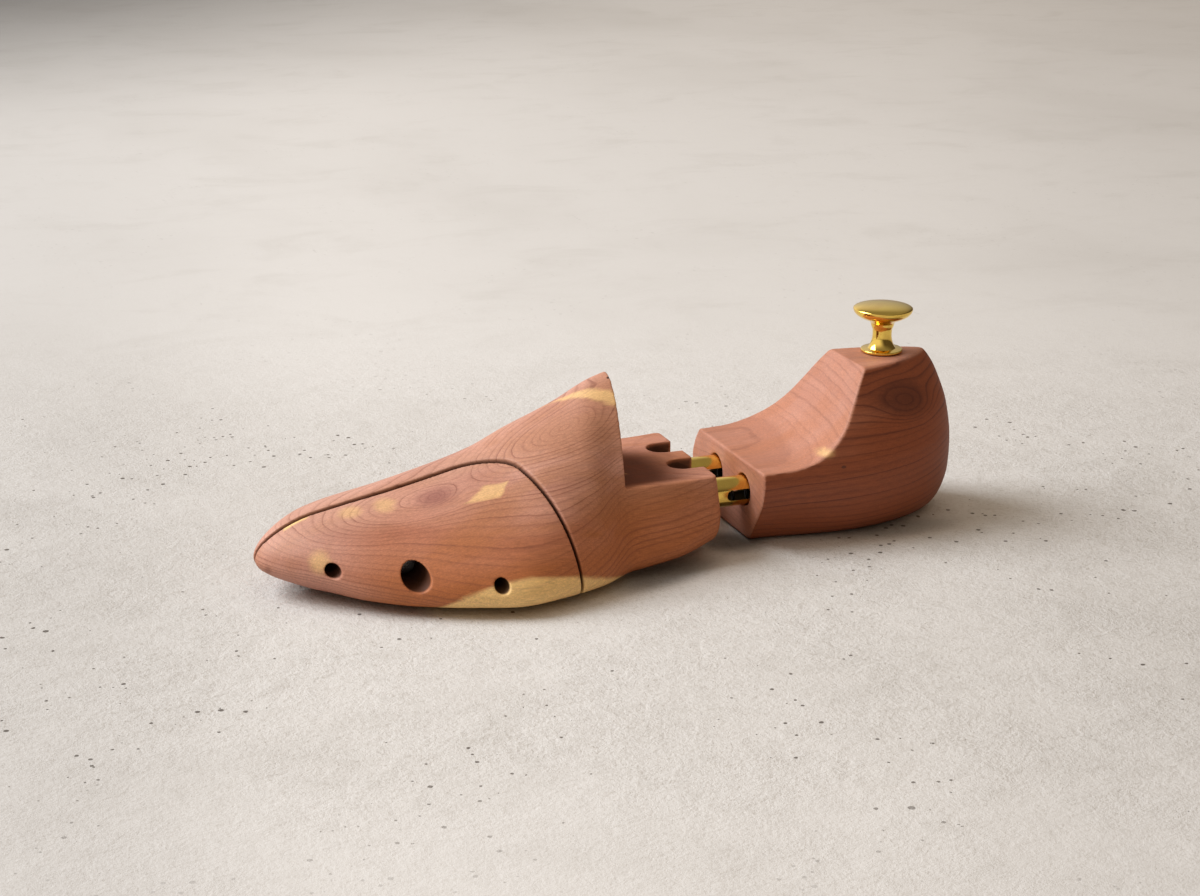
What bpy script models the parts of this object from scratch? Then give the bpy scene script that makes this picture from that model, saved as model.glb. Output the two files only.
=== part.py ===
"""A sprung cedar shoe tree for one left shoe.

A carved forepart with a sprung toe section, a carved heel block with a turned brass knob, and two
slotted brass tubes with compression springs that push the heel block away from the forepart.

Frame: metres, +Z up. X = 0 and Y = 0 are the axis of the knob, and Z = 0 is the surface that the
tree stands on. The toe points to -X, the outer side of the foot lies at -Y.
"""

import math

import bmesh
import bpy
from mathutils import Matrix, Vector

for leftover in list(bpy.data.objects):
    bpy.data.objects.remove(leftover, do_unlink=True)

MM = 0.001

# Gaps between pieces
SEAT_GAP = 0.3 * MM
PIN_SLIDE_GAP = 0.4 * MM
TUBE_SLIDE_GAP = 0.4 * MM

# Length of the tree
HEEL_FACE_X = -63.7 * MM
BLOCK_GAP = 17.5 * MM
FOREPART_LENGTH = 168.8 * MM
HEEL_TRAVEL = 16.5 * MM

# Reach of the forepart's lines
CREST_HEIGHT = 70.0 * MM
TOE_LIFT = 4.4 * MM
TAIL_GIRTH_HEIGHT = 18.0 * MM
CREST_SIDE_SHIFT = 6.0 * MM
OUTER_REACH = 61.6 * MM
INNER_REACH = 36.6 * MM
NOSE_LENGTH_IN_PLAN = 30.0 * MM
NOSE_LENGTH_IN_SIDE = 22.0 * MM
NOSE_FULLNESS_IN_PLAN = 2.2
NOSE_FULLNESS_IN_SIDE = 2.0

# Brass tubes
TUBE_DIAMETER = 11.4 * MM
TUBE_WALL = 0.8 * MM
TUBE_SPACING = 25.9 * MM
TUBE_HEIGHT = 18.8 * MM
TUBE_IN_FOREPART = 45.0 * MM
TUBE_IN_HEEL = 24.0 * MM
BORE_RUNOUT = 1.5 * MM
SLOT_WIDTH = 4.2 * MM
SLOT_SHOWING = 8.8 * MM

# Pins that hold the tubes, and the springs inside them
STOP_PIN_DIAMETER = 3.2 * MM
STOP_PIN_DEPTH = 15.0 * MM
STOP_PIN_OVERHANG = 3.2 * MM
PIN_PLUG_LENGTH = 13.0 * MM
ANCHOR_PIN_DIAMETER = 3.0 * MM
ANCHOR_PIN_SETBACK = 6.0 * MM
ANCHOR_PIN_RECESS = 3.5 * MM
ANCHOR_PIN_OVERHANG = 3.4 * MM
SEAT_DISC_LENGTH = 4.0 * MM
PIN_CHAMFER = 0.4 * MM
COIL_LEAST_GAP = 0.45 * MM
TUBE_SPRING_WIRE = 0.9 * MM
TUBE_SPRING_DIAMETER = 7.6 * MM
TUBE_SPRING_TURNS = 12

# Tail of the forepart
TAIL_TOP_HEIGHT = 31.2 * MM
INSTEP_FOOT_X = -118.3 * MM
INSTEP_LEAN = 0.14
NOTCH_WIDTH = 11.4 * MM
NOTCH_LENGTH = 12.2 * MM
NOTCH_DEPTH = 5.0 * MM
NOTCH_SPACING = 20.8 * MM

# Saw cut that frees the toe section
KERF_Y = -5.0 * MM
KERF_WIDTH = 1.0 * MM
KERF_SPRING_OUT = 1.2 * MM
KERF_TURN_SETBACK = 72.3 * MM
KERF_TURN_RADIUS = 23.4 * MM
KERF_EXIT_ANGLE = math.radians(17.8)
TOE_TRAVEL = 1.9 * MM

# Guide pins, stop screw and spring of the toe section
GUIDE_PIN_DIAMETER = 4.4 * MM
GUIDE_PIN_LENGTH = 34.0 * MM
GUIDE_PIN_END_Y = 15.0 * MM
FRONT_GUIDE_SETBACK = 22.7 * MM
FRONT_GUIDE_Z = 14.3 * MM
REAR_GUIDE_SETBACK = 75.5 * MM
REAR_GUIDE_Z = 11.5 * MM
SCREW_SETBACK = 48.3 * MM
SCREW_Z = 13.9 * MM
SCREW_SHANK_DIAMETER = 3.6 * MM
SCREW_HEAD_DIAMETER = 8.2 * MM
SCREW_HEAD_HEIGHT = 2.8 * MM
SCREW_SOCKET_WIDTH = 3.0 * MM
SCREW_SOCKET_DEPTH = 1.6 * MM
SCREW_END_Y = 14.0 * MM
SCREW_HOLE_CLEARANCE = 0.5 * MM
COUNTERBORE_DIAMETER = 9.4 * MM
WEB_OUTER_Y = -26.0 * MM
WEB_THICKNESS = 8.0 * MM
WASHER_DIAMETER = 8.6 * MM
WASHER_THICKNESS = 0.8 * MM
INSERT_DIAMETER = 7.0 * MM
INSERT_LENGTH = 10.0 * MM
SPRING_POCKET_DIAMETER = 9.0 * MM
SPRING_POCKET_END_Y = 6.0 * MM
TOE_SPRING_WIRE = 0.9 * MM
TOE_SPRING_DIAMETER = 7.6 * MM
TOE_SPRING_TURNS = 7

# Heel block
HEEL_HEIGHT = 63.5 * MM
HEEL_FRONT_HEIGHT = 30.4 * MM
HEEL_MIDDLE_X = -25.0 * MM
PLATFORM_FRONT_X = -16.9 * MM
HEEL_OUTER_REACH = 33.8 * MM
HEEL_INNER_REACH = 35.5 * MM
HEEL_FACE_OUTER_REACH = 32.4 * MM
HEEL_FACE_INNER_REACH = 36.4 * MM
HEEL_BACK_REACH = 29.0 * MM

# Knob
KNOB_CAP_DIAMETER = 23.0 * MM
KNOB_DOME_RISE = 2.0 * MM
KNOB_BELLY_DROP = 4.2 * MM
KNOB_BEAD_DROP = 2.4 * MM
KNOB_NECK_DROP = 5.6 * MM
KNOB_BEAD_DIAMETER = 8.8 * MM
KNOB_NECK_DIAMETER = 7.4 * MM
KNOB_FLARE_DIAMETER = 10.8 * MM
KNOB_FOOT_DIAMETER = 16.2 * MM
KNOB_FOOT_THICKNESS = 1.3 * MM
KNOB_FOOT_EDGE = 0.3 * MM
KNOB_RIM_HEIGHT = 17.2 * MM
STUD_DIAMETER = 5.0 * MM
STUD_IN_KNOB = 9.0 * MM
STUD_IN_HEEL = 25.0 * MM

# Mesh fineness, and how far the cutting shapes run past what they cut
SECTION_POINTS = 40
ROUND_SIDES = 24
PIN_SIDES = 16
KNOB_SIDES = 32
COIL_POINTS = 8
CUT_FAR = 120.0 * MM
CUT_NEAR = 5.0 * MM
CUT_OVERLAP = 1.0 * MM

# Places that follow from the sizes above
TAIL_REAR_X = HEEL_FACE_X - BLOCK_GAP
TOE_TIP_X = TAIL_REAR_X - FOREPART_LENGTH
TUBE_FRONT_X = TAIL_REAR_X - TUBE_IN_FOREPART
TUBE_REAR_X = HEEL_FACE_X + TUBE_IN_HEEL
STOP_PIN_X = HEEL_FACE_X + STOP_PIN_DEPTH
ANCHOR_PIN_X = TUBE_FRONT_X + ANCHOR_PIN_SETBACK
WEB_INNER_Y = WEB_OUTER_Y + WEB_THICKNESS
KERF_TURN_X = TOE_TIP_X + KERF_TURN_SETBACK
GUIDE_PLACES = {
    "front": (TOE_TIP_X + FRONT_GUIDE_SETBACK, 0.0, FRONT_GUIDE_Z),
    "rear": (TOE_TIP_X + REAR_GUIDE_SETBACK, 0.0, REAR_GUIDE_Z),
}
SCREW_PLACE = (TOE_TIP_X + SCREW_SETBACK, 0.0, SCREW_Z)

# Lines of the forepart, as percent of its length from the toe tip and percent of a named size
CREST_LINE = [
    (0, 33.7), (12, 39.4), (20, 43.5), (30, 48.5), (39, 53.4), (50, 60.6), (59, 69.8), (69, 80.3), (78, 92.6),
    (89, 98.8), (100, 98.3),
]
SOLE_LINE = [(0, 100), (6, 77), (12, 36), (20, 9), (27, 0), (66, 0), (75, 7), (89, 30), (100, 59)]
GIRTH_LINE = [
    (0, 72), (12, 66), (20, 52), (30, 44.5), (39, 43), (50, 40.5), (59, 40.5), (69, 38), (78, 38), (89, 54),
    (100, 100),
]
CREST_SIDE_LINE = [(0, -100), (18, -33), (36, 17), (59, 50), (83, 33), (100, 0)]
OUTER_LINE = [
    (0, 34.7), (12, 49), (20, 65), (30, 80.8), (39, 92), (50, 100), (59, 95), (69, 84), (78, 68.6), (89, 64),
    (100, 55),
]
INNER_LINE = [
    (0, 27), (12, 59), (20, 80.5), (30, 91.5), (39, 98), (50, 100), (59, 98.4), (69, 95), (78, 92.3), (89, 91.3),
    (100, 92),
]
CREST_ROUNDNESS = [
    (0, 2.0), (12, 1.84), (20, 1.65), (30, 1.5), (39, 1.5), (50, 1.58), (59, 1.79), (69, 1.85), (78, 1.65),
    (100, 1.6),
]
FLANK_ROUNDNESS = [
    (0, 2.0), (12, 1.92), (20, 1.82), (30, 1.65), (39, 1.57), (50, 1.49), (59, 1.52), (69, 1.37), (78, 1.12),
    (100, 1.12),
]
SOLE_ROUNDNESS = [(0, 1.85), (12, 2.2), (20, 2.75), (30, 3.2), (69, 3.4), (89, 3.3), (100, 2.85)]

# Lines of the heel block, as percent of its height and percent of a named reach
HEEL_OUTER_LINE = [
    (0, 62), (1.6, 69.5), (4.7, 78.5), (11, 89), (19, 95.5), (28, 99.4), (39, 100), (49, 97.6), (58, 91.8),
    (69, 83.8), (79, 74), (90, 65.5), (96, 62), (98.7, 60), (100, 57.4),
]
HEEL_INNER_LINE = [
    (0, 59), (1.6, 66), (4.7, 74.6), (11, 86), (19, 94.4), (28, 100), (39, 98.6), (49, 91), (58, 77.2),
    (69, 64.2), (79, 54), (90, 42.8), (96, 36.3), (98.7, 33.2), (100, 29.3),
]
HEEL_FACE_OUTER_LINE = [
    (0, 52.5), (1.6, 59), (4.7, 65), (11, 73.5), (19, 85), (28, 95.4), (39, 100), (49, 96), (100, 61.7),
]
HEEL_FACE_INNER_LINE = [
    (0, 46.7), (1.6, 52.7), (4.7, 61.8), (11, 77), (19, 91.2), (28, 100), (39, 93.4), (49, 81), (100, 38.5),
]
HEEL_BACK_LINE = [
    (0, 65.5), (1.6, 73), (4.7, 81.4), (11, 89.7), (19, 95.9), (28, 99.3), (39, 100), (49, 99.3), (58, 97.2),
    (69, 92.8), (79, 86.2), (90, 76.6), (96, 68.3), (98.7, 63.4), (100, 60),
]
HEEL_PLAN_FULLNESS = [(0, 1.85), (31, 1.92), (71, 2.0), (100, 1.55)]
HEEL_LEVELS = [0, 0.6, 2, 4, 7, 12, 17, 24, 31, 39, 47, 55, 65, 74, 83, 91, 96, 98.3, 99.5, 100]

# Scoop of the heel block, as percent of the way back to the platform and percent of the rise to it
SCOOP_LINE = [
    (8, 0), (21, 0.6), (33.5, 2.7), (44, 6.6), (54, 13.3), (62.5, 21.8), (70, 32), (76.3, 43.5), (81.8, 55.6),
    (87, 68.3), (92, 81.5), (96.8, 93), (100, 100.3), (102, 105),
]

CEDAR_ROSE = (0.42, 0.17, 0.10)
CEDAR_DARK = (0.33, 0.12, 0.07)
BRASS = (0.78, 0.55, 0.20)
STEEL = (0.45, 0.45, 0.46)
SPRING_STEEL = (0.20, 0.20, 0.21)


def smooth_value(stations, place):
    """Reads a smooth curve without overshoot through (place, size) pairs."""
    if place <= stations[0][0]:
        return stations[0][1]
    if place >= stations[-1][0]:
        return stations[-1][1]
    rises = [(after[1] - before[1]) / (after[0] - before[0]) for before, after in zip(stations, stations[1:])]
    slopes = [rises[0]]
    for before, after in zip(rises, rises[1:]):
        slopes.append(2.0 * before * after / (before + after) if before * after > 0.0 else 0.0)
    slopes.append(rises[-1])
    index = max(i for i in range(len(rises)) if stations[i][0] <= place)
    (x0, y0), (x1, y1) = stations[index], stations[index + 1]
    span = x1 - x0
    t = (place - x0) / span
    return (
        (2 * t**3 - 3 * t**2 + 1) * y0
        + (t**3 - 2 * t**2 + t) * span * slopes[index]
        + (3 * t**2 - 2 * t**3) * y1
        + (t**3 - t**2) * span * slopes[index + 1]
    )


def nose_share(distance, nose_length, fullness):
    """Share of the full size at a distance behind the toe tip: 0 at the tip, 1 past the nose."""
    if distance >= nose_length:
        return 1.0
    return (1.0 - (1.0 - distance / nose_length) ** fullness) ** (1.0 / fullness)


def superellipse(angle, across_fullness, up_fullness):
    """Point of a unit superellipse at an angle, with its own fullness for each direction."""
    across = math.copysign(abs(math.cos(angle)) ** (2.0 / across_fullness), math.cos(angle))
    up = math.copysign(abs(math.sin(angle)) ** (2.0 / up_fullness), math.sin(angle))
    return across, up


def forepart_section(distance):
    """Closed outline of the forepart at a distance behind the toe tip, as 3D points."""
    at = 100.0 * distance / FOREPART_LENGTH
    in_plan = nose_share(distance, NOSE_LENGTH_IN_PLAN, NOSE_FULLNESS_IN_PLAN)
    in_side = nose_share(distance, NOSE_LENGTH_IN_SIDE, NOSE_FULLNESS_IN_SIDE)
    girth = TAIL_GIRTH_HEIGHT * smooth_value(GIRTH_LINE, at) / 100.0
    crest = CREST_SIDE_SHIFT * smooth_value(CREST_SIDE_LINE, at) / 100.0
    outer = (OUTER_REACH * smooth_value(OUTER_LINE, at) / 100.0 + crest) * in_plan
    inner = (INNER_REACH * smooth_value(INNER_LINE, at) / 100.0 - crest) * in_plan
    rise = (CREST_HEIGHT * smooth_value(CREST_LINE, at) / 100.0 - girth) * in_side
    drop = (girth - TOE_LIFT * smooth_value(SOLE_LINE, at) / 100.0) * in_side
    sole = smooth_value(SOLE_ROUNDNESS, at)
    drop /= math.cos(math.pi / SECTION_POINTS) ** (2.0 / sole)
    points = []
    for step in range(SECTION_POINTS):
        angle = 2.0 * math.pi * (step + 0.5) / SECTION_POINTS
        if math.sin(angle) > 0.0:
            across, up = superellipse(angle, smooth_value(CREST_ROUNDNESS, at), smooth_value(FLANK_ROUNDNESS, at))
        else:
            across, up = superellipse(angle, sole, sole)
        y = crest + across * (inner if across > 0.0 else outer)
        z = girth + up * (rise if up > 0.0 else drop)
        points.append(Vector((TOE_TIP_X + distance, y, z)))
    return points


def heel_section(at):
    """Closed outline of the heel block at a percentage of its height, as 3D points."""
    height = HEEL_HEIGHT * at / 100.0
    outer_middle = HEEL_OUTER_REACH * smooth_value(HEEL_OUTER_LINE, at) / 100.0
    inner_middle = HEEL_INNER_REACH * smooth_value(HEEL_INNER_LINE, at) / 100.0
    outer_face = HEEL_FACE_OUTER_REACH * smooth_value(HEEL_FACE_OUTER_LINE, at) / 100.0
    inner_face = HEEL_FACE_INNER_REACH * smooth_value(HEEL_FACE_INNER_LINE, at) / 100.0
    back = HEEL_BACK_REACH * smooth_value(HEEL_BACK_LINE, at) / 100.0 - HEEL_MIDDLE_X
    fullness = smooth_value(HEEL_PLAN_FULLNESS, at)
    front_x = HEEL_FACE_X - CUT_OVERLAP
    points = []
    back_steps = SECTION_POINTS // 2
    for step in range(back_steps + 1):
        angle = math.pi * (step / back_steps - 0.5)
        along, across = superellipse(angle, fullness, fullness)
        half = inner_middle if across > 0.0 else outer_middle
        points.append(Vector((HEEL_MIDDLE_X + along * back, across * half, height)))
    side_steps = SECTION_POINTS // 8
    for step in range(1, side_steps + 1):
        share = step / side_steps
        x = HEEL_MIDDLE_X + (front_x - HEEL_MIDDLE_X) * share
        ease = share * share * (3.0 - 2.0 * share)
        points.append(Vector((x, inner_middle + (inner_face - inner_middle) * ease, height)))
    for step in range(side_steps, 0, -1):
        share = step / side_steps
        x = HEEL_MIDDLE_X + (front_x - HEEL_MIDDLE_X) * share
        ease = share * share * (3.0 - 2.0 * share)
        points.append(Vector((x, -outer_middle - (outer_face - outer_middle) * ease, height)))
    return points


def new_object(name, mesh, material=None):
    """Links an object that holds the mesh."""
    piece = bpy.data.objects.new(name, mesh)
    bpy.context.scene.collection.objects.link(piece)
    if material is not None:
        mesh.materials.append(material)
    return piece


def finish_mesh(name, shape):
    """Turns a bmesh into a mesh whose faces all point out."""
    bmesh.ops.recalc_face_normals(shape, faces=shape.faces)
    mesh = bpy.data.meshes.new(name)
    shape.to_mesh(mesh)
    shape.free()
    return mesh


def loft_mesh(name, sections):
    """Skins closed sections of equal point count and caps both ends."""
    shape = bmesh.new()
    rings = [[shape.verts.new(point) for point in section] for section in sections]
    for ring, after in zip(rings, rings[1:]):
        for index in range(len(ring)):
            follow = (index + 1) % len(ring)
            shape.faces.new((ring[index], ring[follow], after[follow], after[index]))
    shape.faces.new(rings[0])
    shape.faces.new(rings[-1])
    return finish_mesh(name, shape)


def turned_mesh(name, profile, sides=ROUND_SIDES):
    """Turns a profile of (radius, height) points about +Z; it starts and ends on the axis or closes."""
    shape = bmesh.new()
    rings = []
    for radius, height in profile:
        if radius < 1e-9:
            rings.append([shape.verts.new((0.0, 0.0, height))])
            continue
        ring = []
        for side in range(sides):
            angle = 2.0 * math.pi * side / sides
            ring.append(shape.verts.new((radius * math.cos(angle), radius * math.sin(angle), height)))
        rings.append(ring)
    closed = len(rings[0]) > 1
    pairs = list(zip(rings, rings[1:]))
    if closed:
        pairs.append((rings[-1], rings[0]))
    for ring, after in pairs:
        for side in range(sides):
            follow = (side + 1) % sides
            if len(ring) == 1:
                shape.faces.new((ring[0], after[side], after[follow]))
            elif len(after) == 1:
                shape.faces.new((ring[side], ring[follow], after[0]))
            else:
                shape.faces.new((ring[side], ring[follow], after[follow], after[side]))
    return finish_mesh(name, shape)


def rod_profile(radius, start, end, chamfer=0.0):
    """Profile of a solid round bar from start to end along its axis."""
    if chamfer <= 0.0:
        return [(0.0, start), (radius, start), (radius, end), (0.0, end)]
    return [
        (0.0, start), (radius - chamfer, start), (radius, start + chamfer),
        (radius, end - chamfer), (radius - chamfer, end), (0.0, end),
    ]


def sleeve_profile(outer, inner, start, end):
    """Profile of a round tube from start to end along its axis."""
    return [(inner, start), (outer, start), (outer, end), (inner, end)]


AXIS_TURNS = {
    "X": Matrix.Rotation(math.radians(90.0), 4, "Y"),
    "Y": Matrix.Rotation(math.radians(-90.0), 4, "X"),
    "Z": Matrix.Identity(4),
}


def turned_piece(name, profile, axis, place, material=None, sides=ROUND_SIDES):
    """A turned piece whose axis lies along X, Y or Z through a place; the profile runs along it."""
    mesh = turned_mesh(name, profile, sides)
    mesh.transform(AXIS_TURNS[axis])
    piece = new_object(name, mesh, material)
    piece.location = place
    return piece


def prism_piece(name, outline, depth_axis, start, end, material=None):
    """A straight prism; the outline's points are in the plane across depth_axis."""
    shape = bmesh.new()
    rings = []
    for depth in (start, end):
        if depth_axis == "Y":
            rings.append([shape.verts.new((a, depth, b)) for a, b in outline])
        else:
            rings.append([shape.verts.new((a, b, depth)) for a, b in outline])
    shape.faces.new(rings[0])
    shape.faces.new(rings[1])
    for index in range(len(outline)):
        follow = (index + 1) % len(outline)
        shape.faces.new((rings[0][index], rings[0][follow], rings[1][follow], rings[1][index]))
    return new_object(name, finish_mesh(name, shape), material)


def as_cutter(piece):
    """Marks an object as a helper that only cuts."""
    piece.hide_render = True
    piece.display_type = "WIRE"
    return piece


def cut(piece, cutter, operation="DIFFERENCE"):
    """Adds an exact Boolean to a piece."""
    as_cutter(cutter)
    boolean = piece.modifiers.new(cutter.name, "BOOLEAN")
    boolean.operation = operation
    boolean.solver = "EXACT"
    boolean.object = cutter


def plain_material(name, colour, roughness, metallic):
    """A plain Principled material."""
    material = bpy.data.materials.new(name)
    material.use_nodes = True
    shader = material.node_tree.nodes["Principled BSDF"]
    shader.inputs["Base Color"].default_value = (*colour, 1.0)
    shader.inputs["Roughness"].default_value = roughness
    shader.inputs["Metallic"].default_value = metallic
    material.diffuse_color = (*colour, 1.0)
    return material


def round_cutter(name, radius, axis, place, start, end):
    """A round bar that only cuts, from start to end along its axis, measured from the place."""
    return turned_piece(name, rod_profile(radius, start, end), axis, place)


def coil_piece(name, wire, diameter, turns, start, end, axis, place, material):
    """A compression spring with closed ends, wound as one unbroken wire along its axis."""
    mean_radius = (diameter - wire) / 2.0
    closed_pitch = wire + COIL_LEAST_GAP
    open_turns = turns - 2
    free_run = (end - start) - wire - 2.0 * closed_pitch
    count = turns * COIL_POINTS
    path = []
    for step in range(count + 1):
        turn = step / COIL_POINTS
        if turn <= 1.0:
            along = turn * closed_pitch
        elif turn >= turns - 1.0:
            along = closed_pitch + free_run + (turn - turns + 1.0) * closed_pitch
        else:
            along = closed_pitch + free_run * (turn - 1.0) / open_turns
        angle = 2.0 * math.pi * turn
        path.append(Vector((mean_radius * math.cos(angle), mean_radius * math.sin(angle), start + wire / 2 + along)))
    gap = min(
        (path[i] - path[j]).length
        for i in range(len(path))
        for j in range(i + COIL_POINTS - 2, min(i + 2 * COIL_POINTS, len(path)))
    ) - wire
    print(f"{name}: least gap between turns {gap / MM:.2f} mm")
    curve = bpy.data.curves.new(name, "CURVE")
    curve.dimensions = "3D"
    curve.bevel_depth = wire / 2.0
    curve.bevel_resolution = 1
    curve.use_fill_caps = True
    spline = curve.splines.new("POLY")
    spline.points.add(len(path) - 1)
    for point, position in zip(spline.points, path):
        point.co = (*(AXIS_TURNS[axis] @ position), 1.0)
    piece = new_object(name, curve, material)
    piece.location = place
    return piece


def shade(piece, angle=40.0):
    """Shades a round piece smooth, with sharp edges kept."""
    piece.data.shade_smooth()
    piece.data.set_sharp_from_angle(angle=math.radians(angle))


def kerf_line(offset, sideways):
    """Plan view of one wall of the saw cut, from in front of the toe to past the outer side."""
    centre_x = KERF_TURN_X
    centre_y = KERF_Y - KERF_TURN_RADIUS
    radius = KERF_TURN_RADIUS + offset
    points = [(TOE_TIP_X - CUT_NEAR, KERF_Y + offset + sideways)]
    steps = 10
    for step in range(steps + 1):
        angle = math.radians(90.0) - (math.radians(90.0) - KERF_EXIT_ANGLE) * step / steps
        x = centre_x + radius * math.cos(angle)
        y = centre_y + radius * math.sin(angle) + sideways
        points.append((x, y))
    x, y = points[-1]
    points.append((x + CUT_FAR * math.sin(KERF_EXIT_ANGLE), y - CUT_FAR * math.cos(KERF_EXIT_ANGLE)))
    return points


def toe_region(name, offset, sideways):
    """A tall prism over the toe section, bounded by one wall of the saw cut."""
    outline = kerf_line(offset, sideways)
    outline.append((TOE_TIP_X - CUT_NEAR, outline[-1][1]))
    return prism_piece(name, outline, "Z", -CUT_NEAR, CUT_FAR)


def forepart_mesh(name):
    """The whole forepart as one solid, before it is cut."""
    distances = []
    nose_steps = 9
    for step in range(nose_steps):
        distances.append(NOSE_LENGTH_IN_PLAN * (1.0 - math.cos(math.pi / 2.0 * (step + 0.35) / nose_steps)))
    body_steps = 20
    for step in range(body_steps + 1):
        distances.append(NOSE_LENGTH_IN_PLAN + (FOREPART_LENGTH - NOSE_LENGTH_IN_PLAN) * step / body_steps)
    return loft_mesh(name, [forepart_section(distance) for distance in distances])


def tube_y(side):
    """Sideways place of a tube: side is -1 for the outer one and +1 for the inner one."""
    return side * TUBE_SPACING / 2.0


cedar = plain_material("cedar", CEDAR_ROSE, 0.6, 0.0)
cedar_heel = plain_material("cedar_heel", CEDAR_DARK, 0.6, 0.0)
brass = plain_material("polished_brass", BRASS, 0.15, 1.0)
steel = plain_material("zinc_steel", STEEL, 0.35, 1.0)
spring_steel = plain_material("spring_steel", SPRING_STEEL, 0.45, 1.0)

SIDES = {"outer": -1, "inner": 1}


def cut_tail(block):
    """Cuts the low tail platform behind the instep, and its two notches."""
    lean = INSTEP_LEAN * (CUT_FAR - TAIL_TOP_HEIGHT)
    rear = TAIL_REAR_X + CUT_NEAR
    outline = [
        (INSTEP_FOOT_X, TAIL_TOP_HEIGHT), (rear, TAIL_TOP_HEIGHT), (rear, CUT_FAR), (INSTEP_FOOT_X + lean, CUT_FAR),
    ]
    cut(block, prism_piece("cut_tail_top", outline, "Y", -CUT_FAR, CUT_FAR))
    radius = NOTCH_WIDTH / 2.0
    for side_name, side in SIDES.items():
        middle = side * NOTCH_SPACING / 2.0
        centre_x = TAIL_REAR_X - NOTCH_LENGTH + radius
        outline = [(rear, middle - radius), (rear, middle + radius)]
        for step in range(13):
            angle = math.radians(90.0 + 180.0 * step / 12)
            outline.append((centre_x + radius * math.cos(angle), middle + radius * math.sin(angle)))
        floor = TAIL_TOP_HEIGHT - NOTCH_DEPTH
        cut(block, prism_piece(f"cut_notch_{side_name}", outline, "Z", floor, TAIL_TOP_HEIGHT + CUT_NEAR))


def cut_forepart_bores(block):
    """Bores the forepart for the tubes, their anchor pins and the parts behind the toe section."""
    bore = TUBE_DIAMETER / 2.0 + SEAT_GAP
    anchor = ANCHOR_PIN_DIAMETER / 2.0 + SEAT_GAP
    anchor_top = TUBE_HEIGHT + TUBE_DIAMETER / 2.0 + ANCHOR_PIN_OVERHANG + SEAT_GAP
    for side_name, side in SIDES.items():
        place = (0.0, tube_y(side), TUBE_HEIGHT)
        start = TUBE_FRONT_X - SEAT_GAP
        cut(block, round_cutter(f"cut_tube_{side_name}", bore, "X", place, start, TAIL_REAR_X + CUT_NEAR))
        place = (ANCHOR_PIN_X, tube_y(side), 0.0)
        cut(block, round_cutter(f"cut_anchor_{side_name}", anchor, "Z", place, -CUT_NEAR, anchor_top))
    guide = GUIDE_PIN_DIAMETER / 2.0 + SEAT_GAP
    for end_name, place in GUIDE_PLACES.items():
        end = GUIDE_PIN_END_Y + SEAT_GAP
        cut(block, round_cutter(f"cut_guide_seat_{end_name}", guide, "Y", place, KERF_Y - CUT_NEAR, end))
    pocket = SPRING_POCKET_DIAMETER / 2.0
    cut(block, round_cutter("cut_pocket", pocket, "Y", SCREW_PLACE, KERF_Y - CUT_NEAR, SPRING_POCKET_END_Y))
    insert = INSERT_DIAMETER / 2.0 + SEAT_GAP
    start = SPRING_POCKET_END_Y - CUT_OVERLAP
    end = SPRING_POCKET_END_Y + INSERT_LENGTH + 2.0 * SEAT_GAP
    cut(block, round_cutter("cut_insert", insert, "Y", SCREW_PLACE, start, end))


def make_forepart():
    """The main cedar forepart: instep, tail and the inner side of the toe."""
    block = new_object("forepart_block", forepart_mesh("forepart_block"), cedar)
    cut(block, toe_region("cut_toe_region", KERF_WIDTH / 2.0, 0.0))
    cut_tail(block)
    cut_forepart_bores(block)
    shade(block)


def make_toe_section():
    """The sprung outer side of the toe, with its guide holes and screw hole."""
    block = new_object("toe_side_block", forepart_mesh("toe_side_block"), cedar)
    cut(block, toe_region("keep_toe_region", -KERF_WIDTH / 2.0, -KERF_SPRING_OUT), "INTERSECT")
    slide = GUIDE_PIN_DIAMETER / 2.0 + PIN_SLIDE_GAP
    inside = KERF_Y + CUT_NEAR
    for end_name, place in GUIDE_PLACES.items():
        cut(block, round_cutter(f"cut_guide_{end_name}", slide, "Y", place, -CUT_FAR, inside))
    counterbore = COUNTERBORE_DIAMETER / 2.0
    cut(block, round_cutter("cut_counterbore", counterbore, "Y", SCREW_PLACE, -CUT_FAR, WEB_OUTER_Y))
    pocket = SPRING_POCKET_DIAMETER / 2.0
    cut(block, round_cutter("cut_toe_pocket", pocket, "Y", SCREW_PLACE, WEB_INNER_Y, inside))
    clearance = SCREW_SHANK_DIAMETER / 2.0 + SCREW_HOLE_CLEARANCE
    start = WEB_OUTER_Y - CUT_OVERLAP
    cut(block, round_cutter("cut_screw_hole", clearance, "Y", SCREW_PLACE, start, WEB_INNER_Y + CUT_OVERLAP))
    shade(block)


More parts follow.
